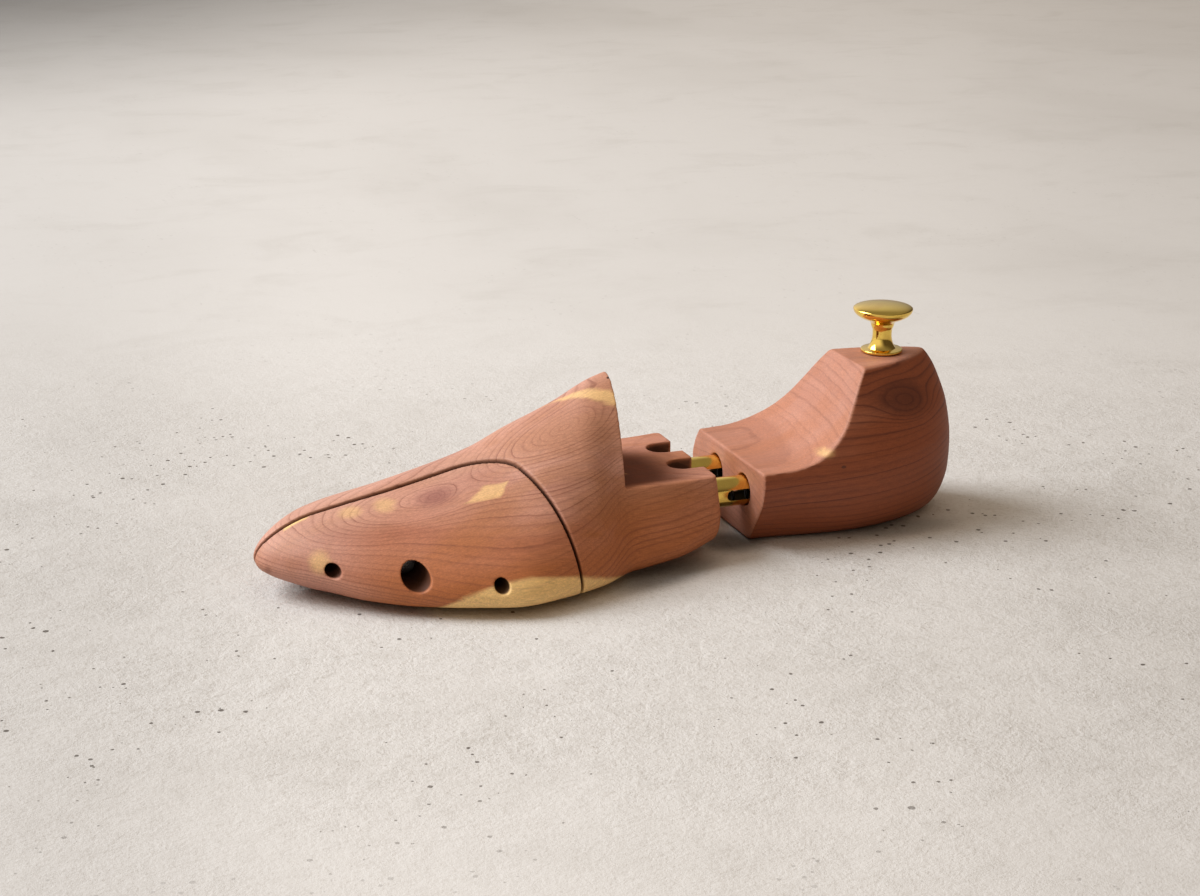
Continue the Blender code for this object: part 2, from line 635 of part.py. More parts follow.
def make_toe_hardware():
    """Guide pins, stop screw with washer and insert, and the spring of the toe section."""
    start = GUIDE_PIN_END_Y - GUIDE_PIN_LENGTH
    profile = rod_profile(GUIDE_PIN_DIAMETER / 2.0, start, GUIDE_PIN_END_Y, PIN_CHAMFER)
    for end_name, place in GUIDE_PLACES.items():
        shade(turned_piece(f"toe_guide_pin_{end_name}", profile, "Y", place, steel))
    washer_outer = WEB_OUTER_Y - SEAT_GAP - WASHER_THICKNESS
    hole = SCREW_SHANK_DIAMETER / 2.0 + SEAT_GAP
    profile = sleeve_profile(WASHER_DIAMETER / 2.0, hole, washer_outer, WEB_OUTER_Y - SEAT_GAP)
    shade(turned_piece("toe_screw_washer", profile, "Y", SCREW_PLACE, steel))
    head_end = washer_outer - SEAT_GAP
    head_start = head_end - SCREW_HEAD_HEIGHT
    head = SCREW_HEAD_DIAMETER / 2.0
    shank = SCREW_SHANK_DIAMETER / 2.0
    profile = [
        (0.0, head_start), (head - PIN_CHAMFER, head_start), (head, head_start + PIN_CHAMFER), (head, head_end),
        (shank, head_end), (shank, SCREW_END_Y - PIN_CHAMFER), (shank - PIN_CHAMFER, SCREW_END_Y), (0.0, SCREW_END_Y),
    ]
    screw = turned_piece("toe_stop_screw", profile, "Y", SCREW_PLACE, steel)
    socket_radius = SCREW_SOCKET_WIDTH / math.sqrt(3.0)
    profile = rod_profile(socket_radius, head_start - CUT_OVERLAP, head_start + SCREW_SOCKET_DEPTH)
    cut(screw, turned_piece("cut_socket", profile, "Y", SCREW_PLACE, None, 6))
    shade(screw)
    insert_start = SPRING_POCKET_END_Y + SEAT_GAP
    profile = sleeve_profile(INSERT_DIAMETER / 2.0, hole, insert_start, insert_start + INSERT_LENGTH)
    shade(turned_piece("toe_screw_insert", profile, "Y", SCREW_PLACE, brass))
    coil_piece(
        "toe_spring", TOE_SPRING_WIRE, TOE_SPRING_DIAMETER, TOE_SPRING_TURNS,
        WEB_INNER_Y + SEAT_GAP, SPRING_POCKET_END_Y - SEAT_GAP, "Y", SCREW_PLACE, spring_steel,
    )


def slot_outline():
    """Side view of the tube's slot: it shows in front of the heel block and ends behind the stop pin."""
    radius = SLOT_WIDTH / 2.0
    front = HEEL_FACE_X - SLOT_SHOWING + radius
    rear = STOP_PIN_X + STOP_PIN_DIAMETER / 2.0 + SEAT_GAP - radius
    outline = []
    for centre, first in ((front, 90.0), (rear, -90.0)):
        for step in range(9):
            angle = math.radians(first + 180.0 * step / 8)
            outline.append((centre + radius * math.cos(angle), TUBE_HEIGHT + radius * math.sin(angle)))
    return outline


def make_tubes():
    """The two brass tubes, with the parts inside each."""
    outer = TUBE_DIAMETER / 2.0
    inner = outer - TUBE_WALL
    disc = inner - PIN_SLIDE_GAP
    anchor = ANCHOR_PIN_DIAMETER / 2.0
    for side_name, side in SIDES.items():
        middle = tube_y(side)
        place = (0.0, middle, TUBE_HEIGHT)
        profile = sleeve_profile(outer, inner, TUBE_FRONT_X, TUBE_REAR_X)
        tube = turned_piece(f"tube_{side_name}", profile, "X", place, brass)
        reach = outer + CUT_OVERLAP
        cut(tube, prism_piece(f"cut_slot_{side_name}", slot_outline(), "Y", middle - reach, middle + reach))
        pin_place = (ANCHOR_PIN_X, middle, 0.0)
        top = TUBE_HEIGHT + reach
        cut(tube, round_cutter(f"cut_tube_pin_{side_name}", anchor + SEAT_GAP, "Z", pin_place, 0.0, top))
        shade(tube)
        profile = rod_profile(anchor, ANCHOR_PIN_RECESS, TUBE_HEIGHT + outer + ANCHOR_PIN_OVERHANG, PIN_CHAMFER)
        shade(turned_piece(f"tube_anchor_pin_{side_name}", profile, "Z", pin_place, steel, PIN_SIDES))
        seat_start = ANCHOR_PIN_X + anchor + SEAT_GAP
        seat_end = seat_start + SEAT_DISC_LENGTH
        profile = rod_profile(disc, seat_start, seat_end, PIN_CHAMFER)
        shade(turned_piece(f"spring_seat_{side_name}", profile, "X", place, brass))
        follower_end = STOP_PIN_X - STOP_PIN_DIAMETER / 2.0 - SEAT_GAP
        follower_start = follower_end - SEAT_DISC_LENGTH
        profile = rod_profile(disc, follower_start, follower_end, PIN_CHAMFER)
        shade(turned_piece(f"spring_follower_{side_name}", profile, "X", place, brass))
        coil_piece(
            f"tube_spring_{side_name}", TUBE_SPRING_WIRE, TUBE_SPRING_DIAMETER, TUBE_SPRING_TURNS,
            seat_end + SEAT_GAP, follower_start - SEAT_GAP, "X", place, spring_steel,
        )


def scoop_outline():
    """Side view of the material that the scoop takes away in front of the platform."""
    run = PLATFORM_FRONT_X - HEEL_FACE_X
    rise = HEEL_HEIGHT - HEEL_FRONT_HEIGHT
    front = HEEL_FACE_X - CUT_NEAR
    outline = [(front, HEEL_FRONT_HEIGHT)]
    for along, up in SCOOP_LINE:
        outline.append((HEEL_FACE_X + run * along / 100.0, HEEL_FRONT_HEIGHT + rise * up / 100.0))
    outline += [(outline[-1][0], CUT_FAR), (front, CUT_FAR)]
    return outline


def make_heel():
    """The cedar heel block, its stop pin and the plug that hides the pin."""
    block = new_object("heel_block", loft_mesh("heel_block", [heel_section(at) for at in HEEL_LEVELS]), cedar_heel)
    front = HEEL_FACE_X - CUT_NEAR
    outline = [(front, -CUT_NEAR), (HEEL_FACE_X, -CUT_NEAR), (HEEL_FACE_X, CUT_FAR), (front, CUT_FAR)]
    cut(block, prism_piece("cut_heel_face", outline, "Y", -CUT_FAR, CUT_FAR))
    cut(block, prism_piece("cut_scoop", scoop_outline(), "Y", -CUT_FAR, CUT_FAR))
    bore = TUBE_DIAMETER / 2.0 + TUBE_SLIDE_GAP
    bore_end = TUBE_REAR_X + HEEL_TRAVEL + BORE_RUNOUT
    for side_name, side in SIDES.items():
        place = (0.0, tube_y(side), TUBE_HEIGHT)
        cut(block, round_cutter(f"cut_heel_bore_{side_name}", bore, "X", place, HEEL_FACE_X - CUT_NEAR, bore_end))
    pin = STOP_PIN_DIAMETER / 2.0
    reach = TUBE_SPACING / 2.0 + TUBE_DIAMETER / 2.0 + STOP_PIN_OVERHANG
    place = (STOP_PIN_X, 0.0, TUBE_HEIGHT)
    cut(block, round_cutter("cut_stop_pin", pin + SEAT_GAP, "Y", place, -reach - SEAT_GAP, CUT_FAR))
    stud = STUD_DIAMETER / 2.0
    stud_end = HEEL_HEIGHT - STUD_IN_HEEL
    cut(block, round_cutter("cut_stud", stud + SEAT_GAP, "Z", (0.0, 0.0, 0.0), stud_end - SEAT_GAP, CUT_FAR))
    shade(block)
    profile = rod_profile(pin, -reach, reach, PIN_CHAMFER)
    shade(turned_piece("heel_stop_pin", profile, "Y", place, steel, PIN_SIDES))
    plug_start = reach + SEAT_GAP
    profile = rod_profile(pin, plug_start, plug_start + PIN_PLUG_LENGTH)
    shade(turned_piece("heel_pin_plug", profile, "Y", place, cedar_heel, PIN_SIDES))


def knob_profile():
    """Outline of the turned knob above the heel block, from the top of its dome to its drilled foot."""
    cap = KNOB_CAP_DIAMETER / 2.0
    bead = KNOB_BEAD_DIAMETER / 2.0
    neck = KNOB_NECK_DIAMETER / 2.0
    flare = KNOB_FLARE_DIAMETER / 2.0
    foot = KNOB_FOOT_DIAMETER / 2.0
    bottom = HEEL_HEIGHT + SEAT_GAP
    rim = HEEL_HEIGHT + KNOB_RIM_HEIGHT
    profile = [(0.0, rim + KNOB_DOME_RISE)]
    for step in range(1, 7):
        angle = math.radians(90.0 * step / 6)
        across, up = superellipse(angle, 2.0, 2.0)
        profile.append((cap * up, rim + KNOB_DOME_RISE * across))
    belly_end = math.acos(0.56)
    for step in range(1, 6):
        angle = belly_end * step / 5
        profile.append((cap * math.cos(angle), rim - KNOB_BELLY_DROP * math.sin(angle) / math.sin(belly_end)))
    under = rim - KNOB_BELLY_DROP
    profile += [
        (bead * 1.22, under - 0.3 * KNOB_BEAD_DROP), (bead * 1.05, under - 0.62 * KNOB_BEAD_DROP),
        (bead, under - KNOB_BEAD_DROP), (bead * 0.93, under - 0.57 * KNOB_NECK_DROP),
        (neck * 1.02, under - 0.75 * KNOB_NECK_DROP), (neck, under - KNOB_NECK_DROP),
    ]
    collar = bottom + KNOB_FOOT_THICKNESS
    start = under - KNOB_NECK_DROP
    for step in range(1, 6):
        share = step / 5
        profile.append((neck + (flare - neck) * share**2.4, start - (start - collar) * share))
    profile += [
        (foot * 0.90, collar - 0.3 * KNOB_FOOT_EDGE), (foot * 0.97, collar - KNOB_FOOT_EDGE),
        (foot, collar - 2.3 * KNOB_FOOT_EDGE), (foot, bottom + KNOB_FOOT_EDGE), (foot - KNOB_FOOT_EDGE, bottom),
    ]
    hole = STUD_DIAMETER / 2.0 + SEAT_GAP
    hole_top = HEEL_HEIGHT + STUD_IN_KNOB + SEAT_GAP
    profile += [(hole, bottom), (hole, hole_top), (0.0, hole_top)]
    return profile


def make_knob():
    """The turned brass knob and the stud that holds it in the heel block."""
    shade(turned_piece("heel_knob", knob_profile(), "Z", (0.0, 0.0, 0.0), brass, KNOB_SIDES), 30.0)
    profile = rod_profile(STUD_DIAMETER / 2.0, HEEL_HEIGHT - STUD_IN_HEEL, HEEL_HEIGHT + STUD_IN_KNOB, PIN_CHAMFER)
    shade(turned_piece("knob_stud", profile, "Z", (0.0, 0.0, 0.0), steel, PIN_SIDES))


make_forepart()
make_toe_section()
make_toe_hardware()
make_tubes()
make_heel()
make_knob()
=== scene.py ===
# %% [markdown]
# # A cedar shoe tree
#
# A shoe tree keeps a shoe in shape while it dries. This one has a carved cedar forepart whose outer
# side is sprung, a carved cedar heel block with a turned brass knob, and two slotted brass tubes with
# springs that push the heel block back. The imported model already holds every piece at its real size,
# so this file only makes the surfaces fine and gives each of them its finish.

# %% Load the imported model
import math

import bmesh
import bpy
import numpy as np
from mathutils import Matrix, Vector
from mathutils.bvhtree import BVHTree


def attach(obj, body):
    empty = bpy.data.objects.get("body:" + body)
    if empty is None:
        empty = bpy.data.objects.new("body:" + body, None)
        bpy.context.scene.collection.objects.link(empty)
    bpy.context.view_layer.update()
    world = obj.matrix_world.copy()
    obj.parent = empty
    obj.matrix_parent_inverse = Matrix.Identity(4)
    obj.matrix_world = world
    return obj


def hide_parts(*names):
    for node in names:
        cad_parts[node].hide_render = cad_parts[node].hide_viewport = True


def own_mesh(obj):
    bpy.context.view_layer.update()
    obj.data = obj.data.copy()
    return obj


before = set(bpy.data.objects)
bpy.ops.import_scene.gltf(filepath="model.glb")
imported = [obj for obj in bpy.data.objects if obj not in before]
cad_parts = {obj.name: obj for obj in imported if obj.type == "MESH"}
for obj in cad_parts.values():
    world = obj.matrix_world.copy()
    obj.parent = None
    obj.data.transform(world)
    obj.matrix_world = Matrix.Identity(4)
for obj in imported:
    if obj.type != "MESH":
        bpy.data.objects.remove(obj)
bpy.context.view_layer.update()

MM = 0.001

# %% [markdown]
# ## The camera
#
# The photograph looks slightly down on the outer side of the tree. A camera can be placed by eye, but
# here its place was worked out from straight edges of the tree, so that each piece lands where the
# photograph has it. A lens of 66 mm on a 36 mm sensor keeps the perspective as flat as in the photograph.

# %% Place the camera
CAMERA_PLACE = (-392.8 * MM, -731.4 * MM, 293.2 * MM)
CAMERA_TURN = (math.radians(71.886), 0.0, math.radians(-20.682))
LENS_MM = 66.0
SENSOR_MM = 36.0
CLIP_NEAR = 0.01
CLIP_FAR = 60.0


def add_object(name, data):
    """Puts a mesh, a lamp or a camera into the scene."""
    thing = bpy.data.objects.new(name, data)
    bpy.context.scene.collection.objects.link(thing)
    return thing


camera = add_object("camera", bpy.data.cameras.new("camera"))
camera.location = CAMERA_PLACE
camera.rotation_euler = CAMERA_TURN
camera.data.lens = LENS_MM
camera.data.sensor_width = SENSOR_MM
camera.data.sensor_fit = "HORIZONTAL"
camera.data.clip_start = CLIP_NEAR
camera.data.clip_end = CLIP_FAR
bpy.context.scene.camera = camera
bpy.context.scene.view_settings.view_transform = "Standard"
print("camera at", tuple(round(v, 4) for v in camera.location))

# %% [markdown]
# ## Wiring nodes
#
# A procedural finish is a chain of many small nodes. Adding and linking each one by hand takes three
# lines, so a small helper does it in one: it takes numbers or sockets and gives back the output socket.
# A plain number goes on the socket itself, where it can be read and changed later. With it, a finish
# reads from top to bottom like a recipe, and the same bench builds the Geometry Nodes trees further on.

# %% A bench for nodes
class NodeBench:
    """Adds nodes to one tree and links them."""

    def __init__(self, tree):
        self.tree = tree

    def add(self, kind, **settings):
        node = self.tree.nodes.new(kind)
        for name, value in settings.items():
            setattr(node, name, value)
        return node

    def feed(self, socket, value):
        if isinstance(value, bpy.types.NodeSocket):
            self.tree.links.new(value, socket)
        else:
            socket.default_value = value

    def fill(self, node, **values):
        """Feeds a node's inputs by name; an underscore stands for a space."""
        for name, value in values.items():
            self.feed(node.inputs[name.replace("_", " ")], value)
        return node

    def math(self, operation, *values):
        node = self.add("ShaderNodeMath", operation=operation)
        for socket, value in zip(node.inputs, values):
            self.feed(socket, value)
        return node.outputs[0]

    def times(self, first, *others):
        for other in others:
            first = self.math("MULTIPLY", first, other)
        return first

    def plus(self, first, second):
        return self.math("ADD", first, second)

    def minus(self, first, second):
        return self.math("SUBTRACT", first, second)

    def times_plus(self, first, factor, addend):
        return self.math("MULTIPLY_ADD", first, factor, addend)

    def most(self, first, second):
        return self.math("MAXIMUM", first, second)

    def vector(self, operation, first, second, result=0):
        node = self.add("ShaderNodeVectorMath", operation=operation)
        self.feed(node.inputs[0], first)
        self.feed(node.inputs["Scale" if operation == "SCALE" else 1], second)
        return node.outputs[result]

    def stretch(self, place, amounts):
        return self.vector("MULTIPLY", place, amounts)

    def length(self, place):
        node = self.add("ShaderNodeVectorMath", operation="LENGTH")
        self.feed(node.inputs[0], place)
        return node.outputs["Value"]

    def reach(self, place, centre, turned, radii):
        """Distance from the middle of a turned ellipsoid: 1 on its surface, less inside."""
        node = self.add("ShaderNodeMapping", vector_type="TEXTURE")
        self.fill(node, Vector=place, Location=centre, Rotation=turned, Scale=radii)
        return self.length(node.outputs[0])

    def split(self, place):
        return tuple(self.fill(self.add("ShaderNodeSeparateXYZ"), Vector=place).outputs)

    def join(self, x, y, z):
        return self.fill(self.add("ShaderNodeCombineXYZ"), X=x, Y=y, Z=z).outputs[0]

    def noise(self, place, scale=1.0, detail=3.0, roughness=0.5, distortion=0.0, colour=False):
        node = self.add("ShaderNodeTexNoise")
        self.fill(node, Vector=place, Scale=scale, Detail=detail, Roughness=roughness, Distortion=distortion)
        return node.outputs["Color" if colour else "Fac"]

    def noise_along(self, value, scale, detail=2.0):
        node = self.add("ShaderNodeTexNoise", noise_dimensions="1D")
        return self.fill(node, W=value, Scale=scale, Detail=detail).outputs["Fac"]

    def chance(self, value):
        node = self.add("ShaderNodeTexWhiteNoise", noise_dimensions="1D")
        return self.fill(node, W=value).outputs["Value"]

    def stored(self, name):
        """A number stored on the mesh as an attribute."""
        return self.add("ShaderNodeAttribute", attribute_name=name).outputs["Fac"]

    def spread(self, value, low, high, to_low=0.0, to_high=1.0, smooth=True):
        """Turns the run from low to high into the run from to_low to to_high."""
        node = self.add("ShaderNodeMapRange", interpolation_type="SMOOTHSTEP" if smooth else "LINEAR")
        return self.fill(
            node, Value=value, From_Min=low, From_Max=high, To_Min=to_low, To_Max=to_high,
        ).outputs[0]

    def curve(self, value, stops):
        """A curve through (place, height) stops."""
        node = self.add("ShaderNodeValToRGB")
        self.feed(node.inputs[0], value)
        elements = node.color_ramp.elements
        for element, (place, height) in zip(elements, stops):
            element.position = place
            element.color = (height, height, height, 1.0)
        for place, height in stops[len(elements):]:
            elements.new(place).color = (height, height, height, 1.0)
        return node.outputs["Color"]

    def mix_value(self, share, under, over):
        node = self.add("ShaderNodeMix", data_type="FLOAT")
        return self.fill(node, Factor=share, A=under, B=over).outputs["Result"]

    def mix(self, share, under, over, blend="MIX"):
        node = self.add("ShaderNodeMix", data_type="RGBA", blend_type=blend)
        under, over = ((*c, 1.0) if isinstance(c, tuple) else c for c in (under, over))
        return self.fill(node, Factor=share, A=under, B=over).outputs["Result"]

    def stain(self, colour, value, low, high, share, shade, where=None):
        """Lays a shade over a colour where a value passes from low to high."""
        amount = self.spread(value, low, high, 0.0, share)
        return self.mix(amount if where is None else self.times(amount, where), colour, shade)

    def dim(self, colour, light):
        """A colour times a number."""
        grey = self.add("ShaderNodeCombineColor")
        for socket in grey.inputs:
            self.feed(socket, light)
        return self.mix(1.0, colour, grey.outputs[0], "MULTIPLY")

    def bump(self, shader, height, distance, strength):
        """Fine relief, shown by bending the light."""
        node = self.fill(self.add("ShaderNodeBump"), Distance=distance, Strength=strength, Height=height)
        self.feed(shader.inputs["Normal"], node.outputs[0])


def new_material(name):
    """An empty node material with a Principled shader: gives the material, its bench and the shader."""
    material = bpy.data.materials.new(name)
    material.use_nodes = True
    return material, NodeBench(material.node_tree), material.node_tree.nodes["Principled BSDF"]


def place_in_mm(bench):
    """The place on the object in millimetres, which slides neither with the view nor with a pose."""
    node = bench.add("ShaderNodeTexCoord")
    return bench.vector("SCALE", node.outputs["Object"], 1.0 / MM)


print("node bench ready")

# %% [markdown]
# ## The floor
#
# The tree stands on pale ground concrete: faint wide clouds, fine sand, and small dark pits where air
# bubbles were cut open. A flat plane is enough, because the pits are about a millimetre wide; noise
# textures of different size give the colour, and the same noises feed a little bump.
#
# Two things come from the place of a point on the floor, measured from a spot below the camera. The
# photograph is sharp only near the tree, so sand and pits get weaker in front of it and behind it. The
# floor's colour is darkened as painted shade at the sides and in the far corner, and most as painted
# shadow in the narrow gaps between and beside the blocks. Camera nodes could give the distance, but the
# pattern would then slide over the floor when the view changes; a fixed spot keeps it in place.

# %% Sizes and shades of the floor
FLOOR_REACH = 9.0
FLOOR_DROP = 0.3 * MM
CONCRETE_PALE = (0.662, 0.655, 0.650)
CONCRETE_GREY = (0.500, 0.484, 0.463)
CONCRETE_SAND = (0.450, 0.424, 0.390)
CONCRETE_PIT = (0.080, 0.062, 0.048)
CONCRETE_ROUGHNESS = 0.82
CONCRETE_SHEEN = 0.3
SMALL_PITS = {"spacing": 3.6, "chance": 0.45, "largest": 1.0}
LARGE_PITS = {"spacing": 18.0, "chance": 0.26, "largest": 1.9}
FLOOR_NEAR_SPOT = (-393.0, -731.0, 0.0)
FLOOR_HEADING = (0.353, 0.936)
FLOOR_LEAST_AHEAD = 480.0
# Each of these is: from, to, value before, value after; distances in mm, or sideways per mm ahead.
SHARP_FROM = (420.0, 680.0, 0.35, 1.0)
SHARP_UNTIL = (840.0, 1150.0, 1.0, 0.12)
ROUGHER_RIGHT = (-0.1, 0.25, 1.0, 1.15)
# Painted shade: the floor colour is darkened towards both sides, far ahead and in the far corner.
PAINTED_SHADE_LEFT = (-0.29, -0.10, 0.84, 1.0)
PAINTED_SHADE_RIGHT = (0.12, 0.29, 1.0, 0.92)
PAINTED_SHADE_FAR = (800.0, 1300.0, 1.0, 0.94)
PAINTED_SHADE_CORNER = (250.0, 1350.0, 0.34, 1.0)
FLOOR_CORNER = (-450.0, 2200.0, 0.0)
# Painted shadows in the gaps: centre, radii, turn about Z, and the share of the brightness left in the
# middle.
PAINTED_GAP_SHADOWS = [
    ((-70.0, -16.0, 0.0), (19.0, 17.0, 9.0), 0.0, 0.30),
    ((-106.0, -40.0, 0.0), (36.0, 13.0, 9.0), math.radians(20.0), 0.42),
    ((-4.0, -26.0, 0.0), (34.0, 12.0, 9.0), 0.0, 0.60),
]
print("concrete from", CONCRETE_PIT, "to", CONCRETE_PALE)

# %% [markdown]
# The concrete is laid up like paint: a pale coat, grey clouds, stains and lumps, two sizes of sand, then
# the pits, then painted shade towards the sides and painted shadows in the gaps. The lumps, the sand and
# the pits also feed the bump, so that what looks like a grain catches the light like one.

# %% Make the concrete floor
def lay_pits(bench, place, spacing, chance, largest):
    """Round pits, scattered one to a cell; most cells have none."""
    shake = bench.vector("SCALE", bench.noise(place, 0.9, 2.0, 0.6, colour=True), 0.6)
    seeds = bench.add("ShaderNodeTexVoronoi", feature="F1")
    bench.fill(seeds, Vector=bench.vector("ADD", place, shake), Scale=1.0 / spacing)
    luck = bench.split(seeds.outputs["Color"])[0]
    size = bench.spread(luck, 1.0 - chance, 1.0, 0.0, largest / spacing, smooth=False)
    crowd = bench.spread(bench.noise(place, 0.011, 3.0, 0.6), 0.42, 0.60, 0.10, 1.0)
    return bench.math("LESS_THAN", seeds.outputs["Distance"], bench.times(size, crowd))


def along_view(bench, place):
    """How far a floor point lies ahead of the near spot, and how far aside for each millimetre ahead."""
    x, y, _ = bench.split(bench.vector("SUBTRACT", place, FLOOR_NEAR_SPOT))
    east, north = FLOOR_HEADING
    ahead = bench.plus(bench.times(x, east), bench.times(y, north))
    aside = bench.minus(bench.times(x, north), bench.times(y, east))
    return ahead, bench.math("DIVIDE", aside, bench.most(ahead, FLOOR_LEAST_AHEAD))


def paint_floor_shade(bench, place, ahead, slope, colour):
    """Painted shade darkens the floor colour at both sides, far ahead and in the far corner, and painted
    shadows darken it between and beside the blocks.
    """
    light = bench.times(bench.spread(slope, *PAINTED_SHADE_LEFT), bench.spread(slope, *PAINTED_SHADE_RIGHT))
    corner = bench.length(bench.vector("SUBTRACT", place, FLOOR_CORNER))
    light = bench.times(light, bench.spread(corner, *PAINTED_SHADE_CORNER), bench.spread(ahead, *PAINTED_SHADE_FAR))
    for centre, radii, turned, left_over in PAINTED_GAP_SHADOWS:
        # Painted shadow in each gap between and beside the blocks.
        painted_gap_shadow = bench.reach(place, centre, (0.0, 0.0, turned), radii)
        light = bench.times(light, bench.spread(painted_gap_shadow, 0.25, 1.0, left_over, 1.0))
    return bench.dim(colour, light)


def make_concrete():
    material, bench, shader = new_material("ground_concrete")
    place = place_in_mm(bench)
    ahead, slope = along_view(bench, place)
    sharp = bench.times(bench.spread(ahead, *SHARP_FROM), bench.spread(ahead, *SHARP_UNTIL))
    clouds = bench.noise(bench.stretch(place, (1.0, 0.6, 1.0)), 0.0035, 4.0, 0.55, 0.3)
    stains = bench.noise(bench.stretch(place, (0.7, 1.0, 1.0)), 0.018, 5.0, 0.65, 0.6)
    lumps = bench.noise(place, 0.10, 3.0, 0.65, 0.4)
    sand = bench.noise(place, 0.55, 4.0, 0.75)
    grit = bench.noise(place, 1.6, 2.0, 0.7)
    rough = bench.spread(bench.noise(place, 0.016, 3.0, 0.6), 0.36, 0.62, 0.72, 1.0)
    rough = bench.times(rough, bench.times(sharp, bench.spread(slope, *ROUGHER_RIGHT)))
    colour = bench.stain(CONCRETE_PALE, clouds, 0.42, 0.80, 0.42, CONCRETE_GREY)
    colour = bench.stain(colour, stains, 0.48, 0.76, 0.30, CONCRETE_GREY)
    colour = bench.stain(colour, lumps, 0.42, 0.72, 0.28, CONCRETE_GREY, rough)
    colour = bench.stain(colour, sand, 0.48, 0.74, 0.66, CONCRETE_SAND, rough)
    colour = bench.stain(colour, grit, 0.58, 0.78, 0.55, CONCRETE_SAND, rough)
    pit = bench.most(lay_pits(bench, place, **SMALL_PITS), lay_pits(bench, place, **LARGE_PITS))
    colour = bench.mix(bench.times(pit, bench.spread(sharp, 0.45, 0.90, 0.10, 0.85)), colour, CONCRETE_PIT)
    # Painted shade and painted shadows darken the floor colour here.
    colour = paint_floor_shade(bench, place, ahead, slope, colour)
    bench.fill(shader, Base_Color=colour, Roughness=CONCRETE_ROUGHNESS, Specular_IOR_Level=CONCRETE_SHEEN)
    relief = bench.times(bench.times_plus(grit, 0.5, sand), rough)
    relief = bench.times_plus(bench.times(lumps, rough), 1.6, relief)
    bench.bump(shader, bench.minus(relief, pit), 0.7 * MM, 0.8)
    return material


floor_mesh = bpy.data.meshes.new("floor")
floor_mesh.from_pydata(
    [(x * FLOOR_REACH, y * FLOOR_REACH, -FLOOR_DROP) for x, y in ((-1, -1), (1, -1), (1, 1), (-1, 1))],
    [], [(0, 1, 2, 3)],
)
floor_mesh.materials.append(make_concrete())
floor = add_object("floor", floor_mesh)
print("floor", 2 * FLOOR_REACH, "m wide")

# %% [markdown]
# ## The light
#
# The photograph was lit by one large soft window, high on the left and a little behind the tree: upper
# faces are bright, the side towards the camera is a third as bright, and the soft shadow falls to the
# right. One big area lamp gives that. The rest of the room fills the shadows with a weak warm light, so
# the world is bright towards the window and dim and brown behind the camera.

# %% Set the window lamp
WINDOW_AIM = Vector((-120 * MM, 0.0, 30 * MM))
WINDOW_DIRECTION = Vector((-0.66, 0.36, 0.66)).normalized()
WINDOW_DISTANCE = 2.7
WINDOW_SIZE = 1.75
WINDOW_POWER = 94.0
WINDOW_COLOUR = (0.97, 0.985, 1.0)


def add_area_lamp(name, place, aim, size, power, colour):
    data = bpy.data.lights.new(name, "AREA")
    data.shape = "SQUARE"
    data.size = size
    data.energy = power
    data.color = colour
    lamp = add_object(name, data)
    lamp.location = place
    lamp.rotation_euler = (aim - place).to_track_quat("-Z", "Y").to_euler()
    return lamp


window = add_area_lamp(
    "window", WINDOW_AIM + WINDOW_DIRECTION * WINDOW_DISTANCE, WINDOW_AIM, WINDOW_SIZE, WINDOW_POWER,
    WINDOW_COLOUR,
)
print("window at", tuple(round(v, 2) for v in window.location))

# %% [markdown]
# Polished brass shows the room itself, so rays that mirror or look straight at the world get a second,
# crisper picture of the same room: bright on the window side, dim overhead, dark behind the camera.

# %% Set the world
ROOM_BRIGHT_SIDE = (-0.80, 0.42, 0.42)
FILL_NEAR_WINDOW = (1.0, 0.86, 0.70)
FILL_FAR_SIDE = (0.66, 0.47, 0.30)
FILL_AT_HORIZON = 0.16
FILL_OVERHEAD = 0.72
MIRROR_NEAR_WINDOW = (1.0, 0.97, 0.93)
MIRROR_FAR_SIDE = (0.10, 0.085, 0.07)
MIRROR_OVERHEAD = (0.27, 0.255, 0.235)
MIRROR_STRENGTH = 1.0
FILL_TURN = (-0.5, 0.8)
MIRROR_TURN = (-0.35, 0.60)
OVERHEAD_RISE = (0.35, 0.80)
FILL_FULL_HEIGHT = 0.85

world = bpy.data.worlds.new("studio")
bpy.context.scene.world = world
world.use_nodes = True
sky = NodeBench(world.node_tree)
direction = sky.add("ShaderNodeTexCoord").outputs["Object"]
facing = sky.vector("DOT_PRODUCT", direction, ROOM_BRIGHT_SIDE, result=1)
height = sky.split(direction)[2]
soft_room = world.node_tree.nodes["Background"]
sky.fill(
    soft_room, Color=sky.mix(sky.spread(facing, *FILL_TURN), FILL_FAR_SIDE, FILL_NEAR_WINDOW),
    Strength=sky.spread(height, 0.0, FILL_FULL_HEIGHT, FILL_AT_HORIZON, FILL_OVERHEAD),
)
room = sky.mix(sky.spread(facing, *MIRROR_TURN), MIRROR_FAR_SIDE, MIRROR_NEAR_WINDOW)
room = sky.mix(sky.spread(height, *OVERHEAD_RISE), room, MIRROR_OVERHEAD)
mirror = sky.fill(sky.add("ShaderNodeBackground"), Color=room, Strength=MIRROR_STRENGTH)
path = sky.add("ShaderNodeLightPath")
seen = sky.most(path.outputs["Is Camera Ray"], path.outputs["Is Glossy Ray"])
choose = sky.add("ShaderNodeMixShader")
for socket, value in zip(choose.inputs, (seen, soft_room.outputs[0], mirror.outputs[0])):
    sky.feed(socket, value)
sky.feed(world.node_tree.nodes["World Output"].inputs["Surface"], choose.outputs[0])
print("world filled from", ROOM_BRIGHT_SIDE)

# %% [markdown]
# ## Reading smooth lines
#
# A carved block has no straight edges, but a few lines say all about it: how high its crest runs, how
# far it swells to each side, how full its outline is. Each line is a short list of (place, size) pairs.
# A monotone cubic runs through them without bulging between two stations, which a plain spline would.

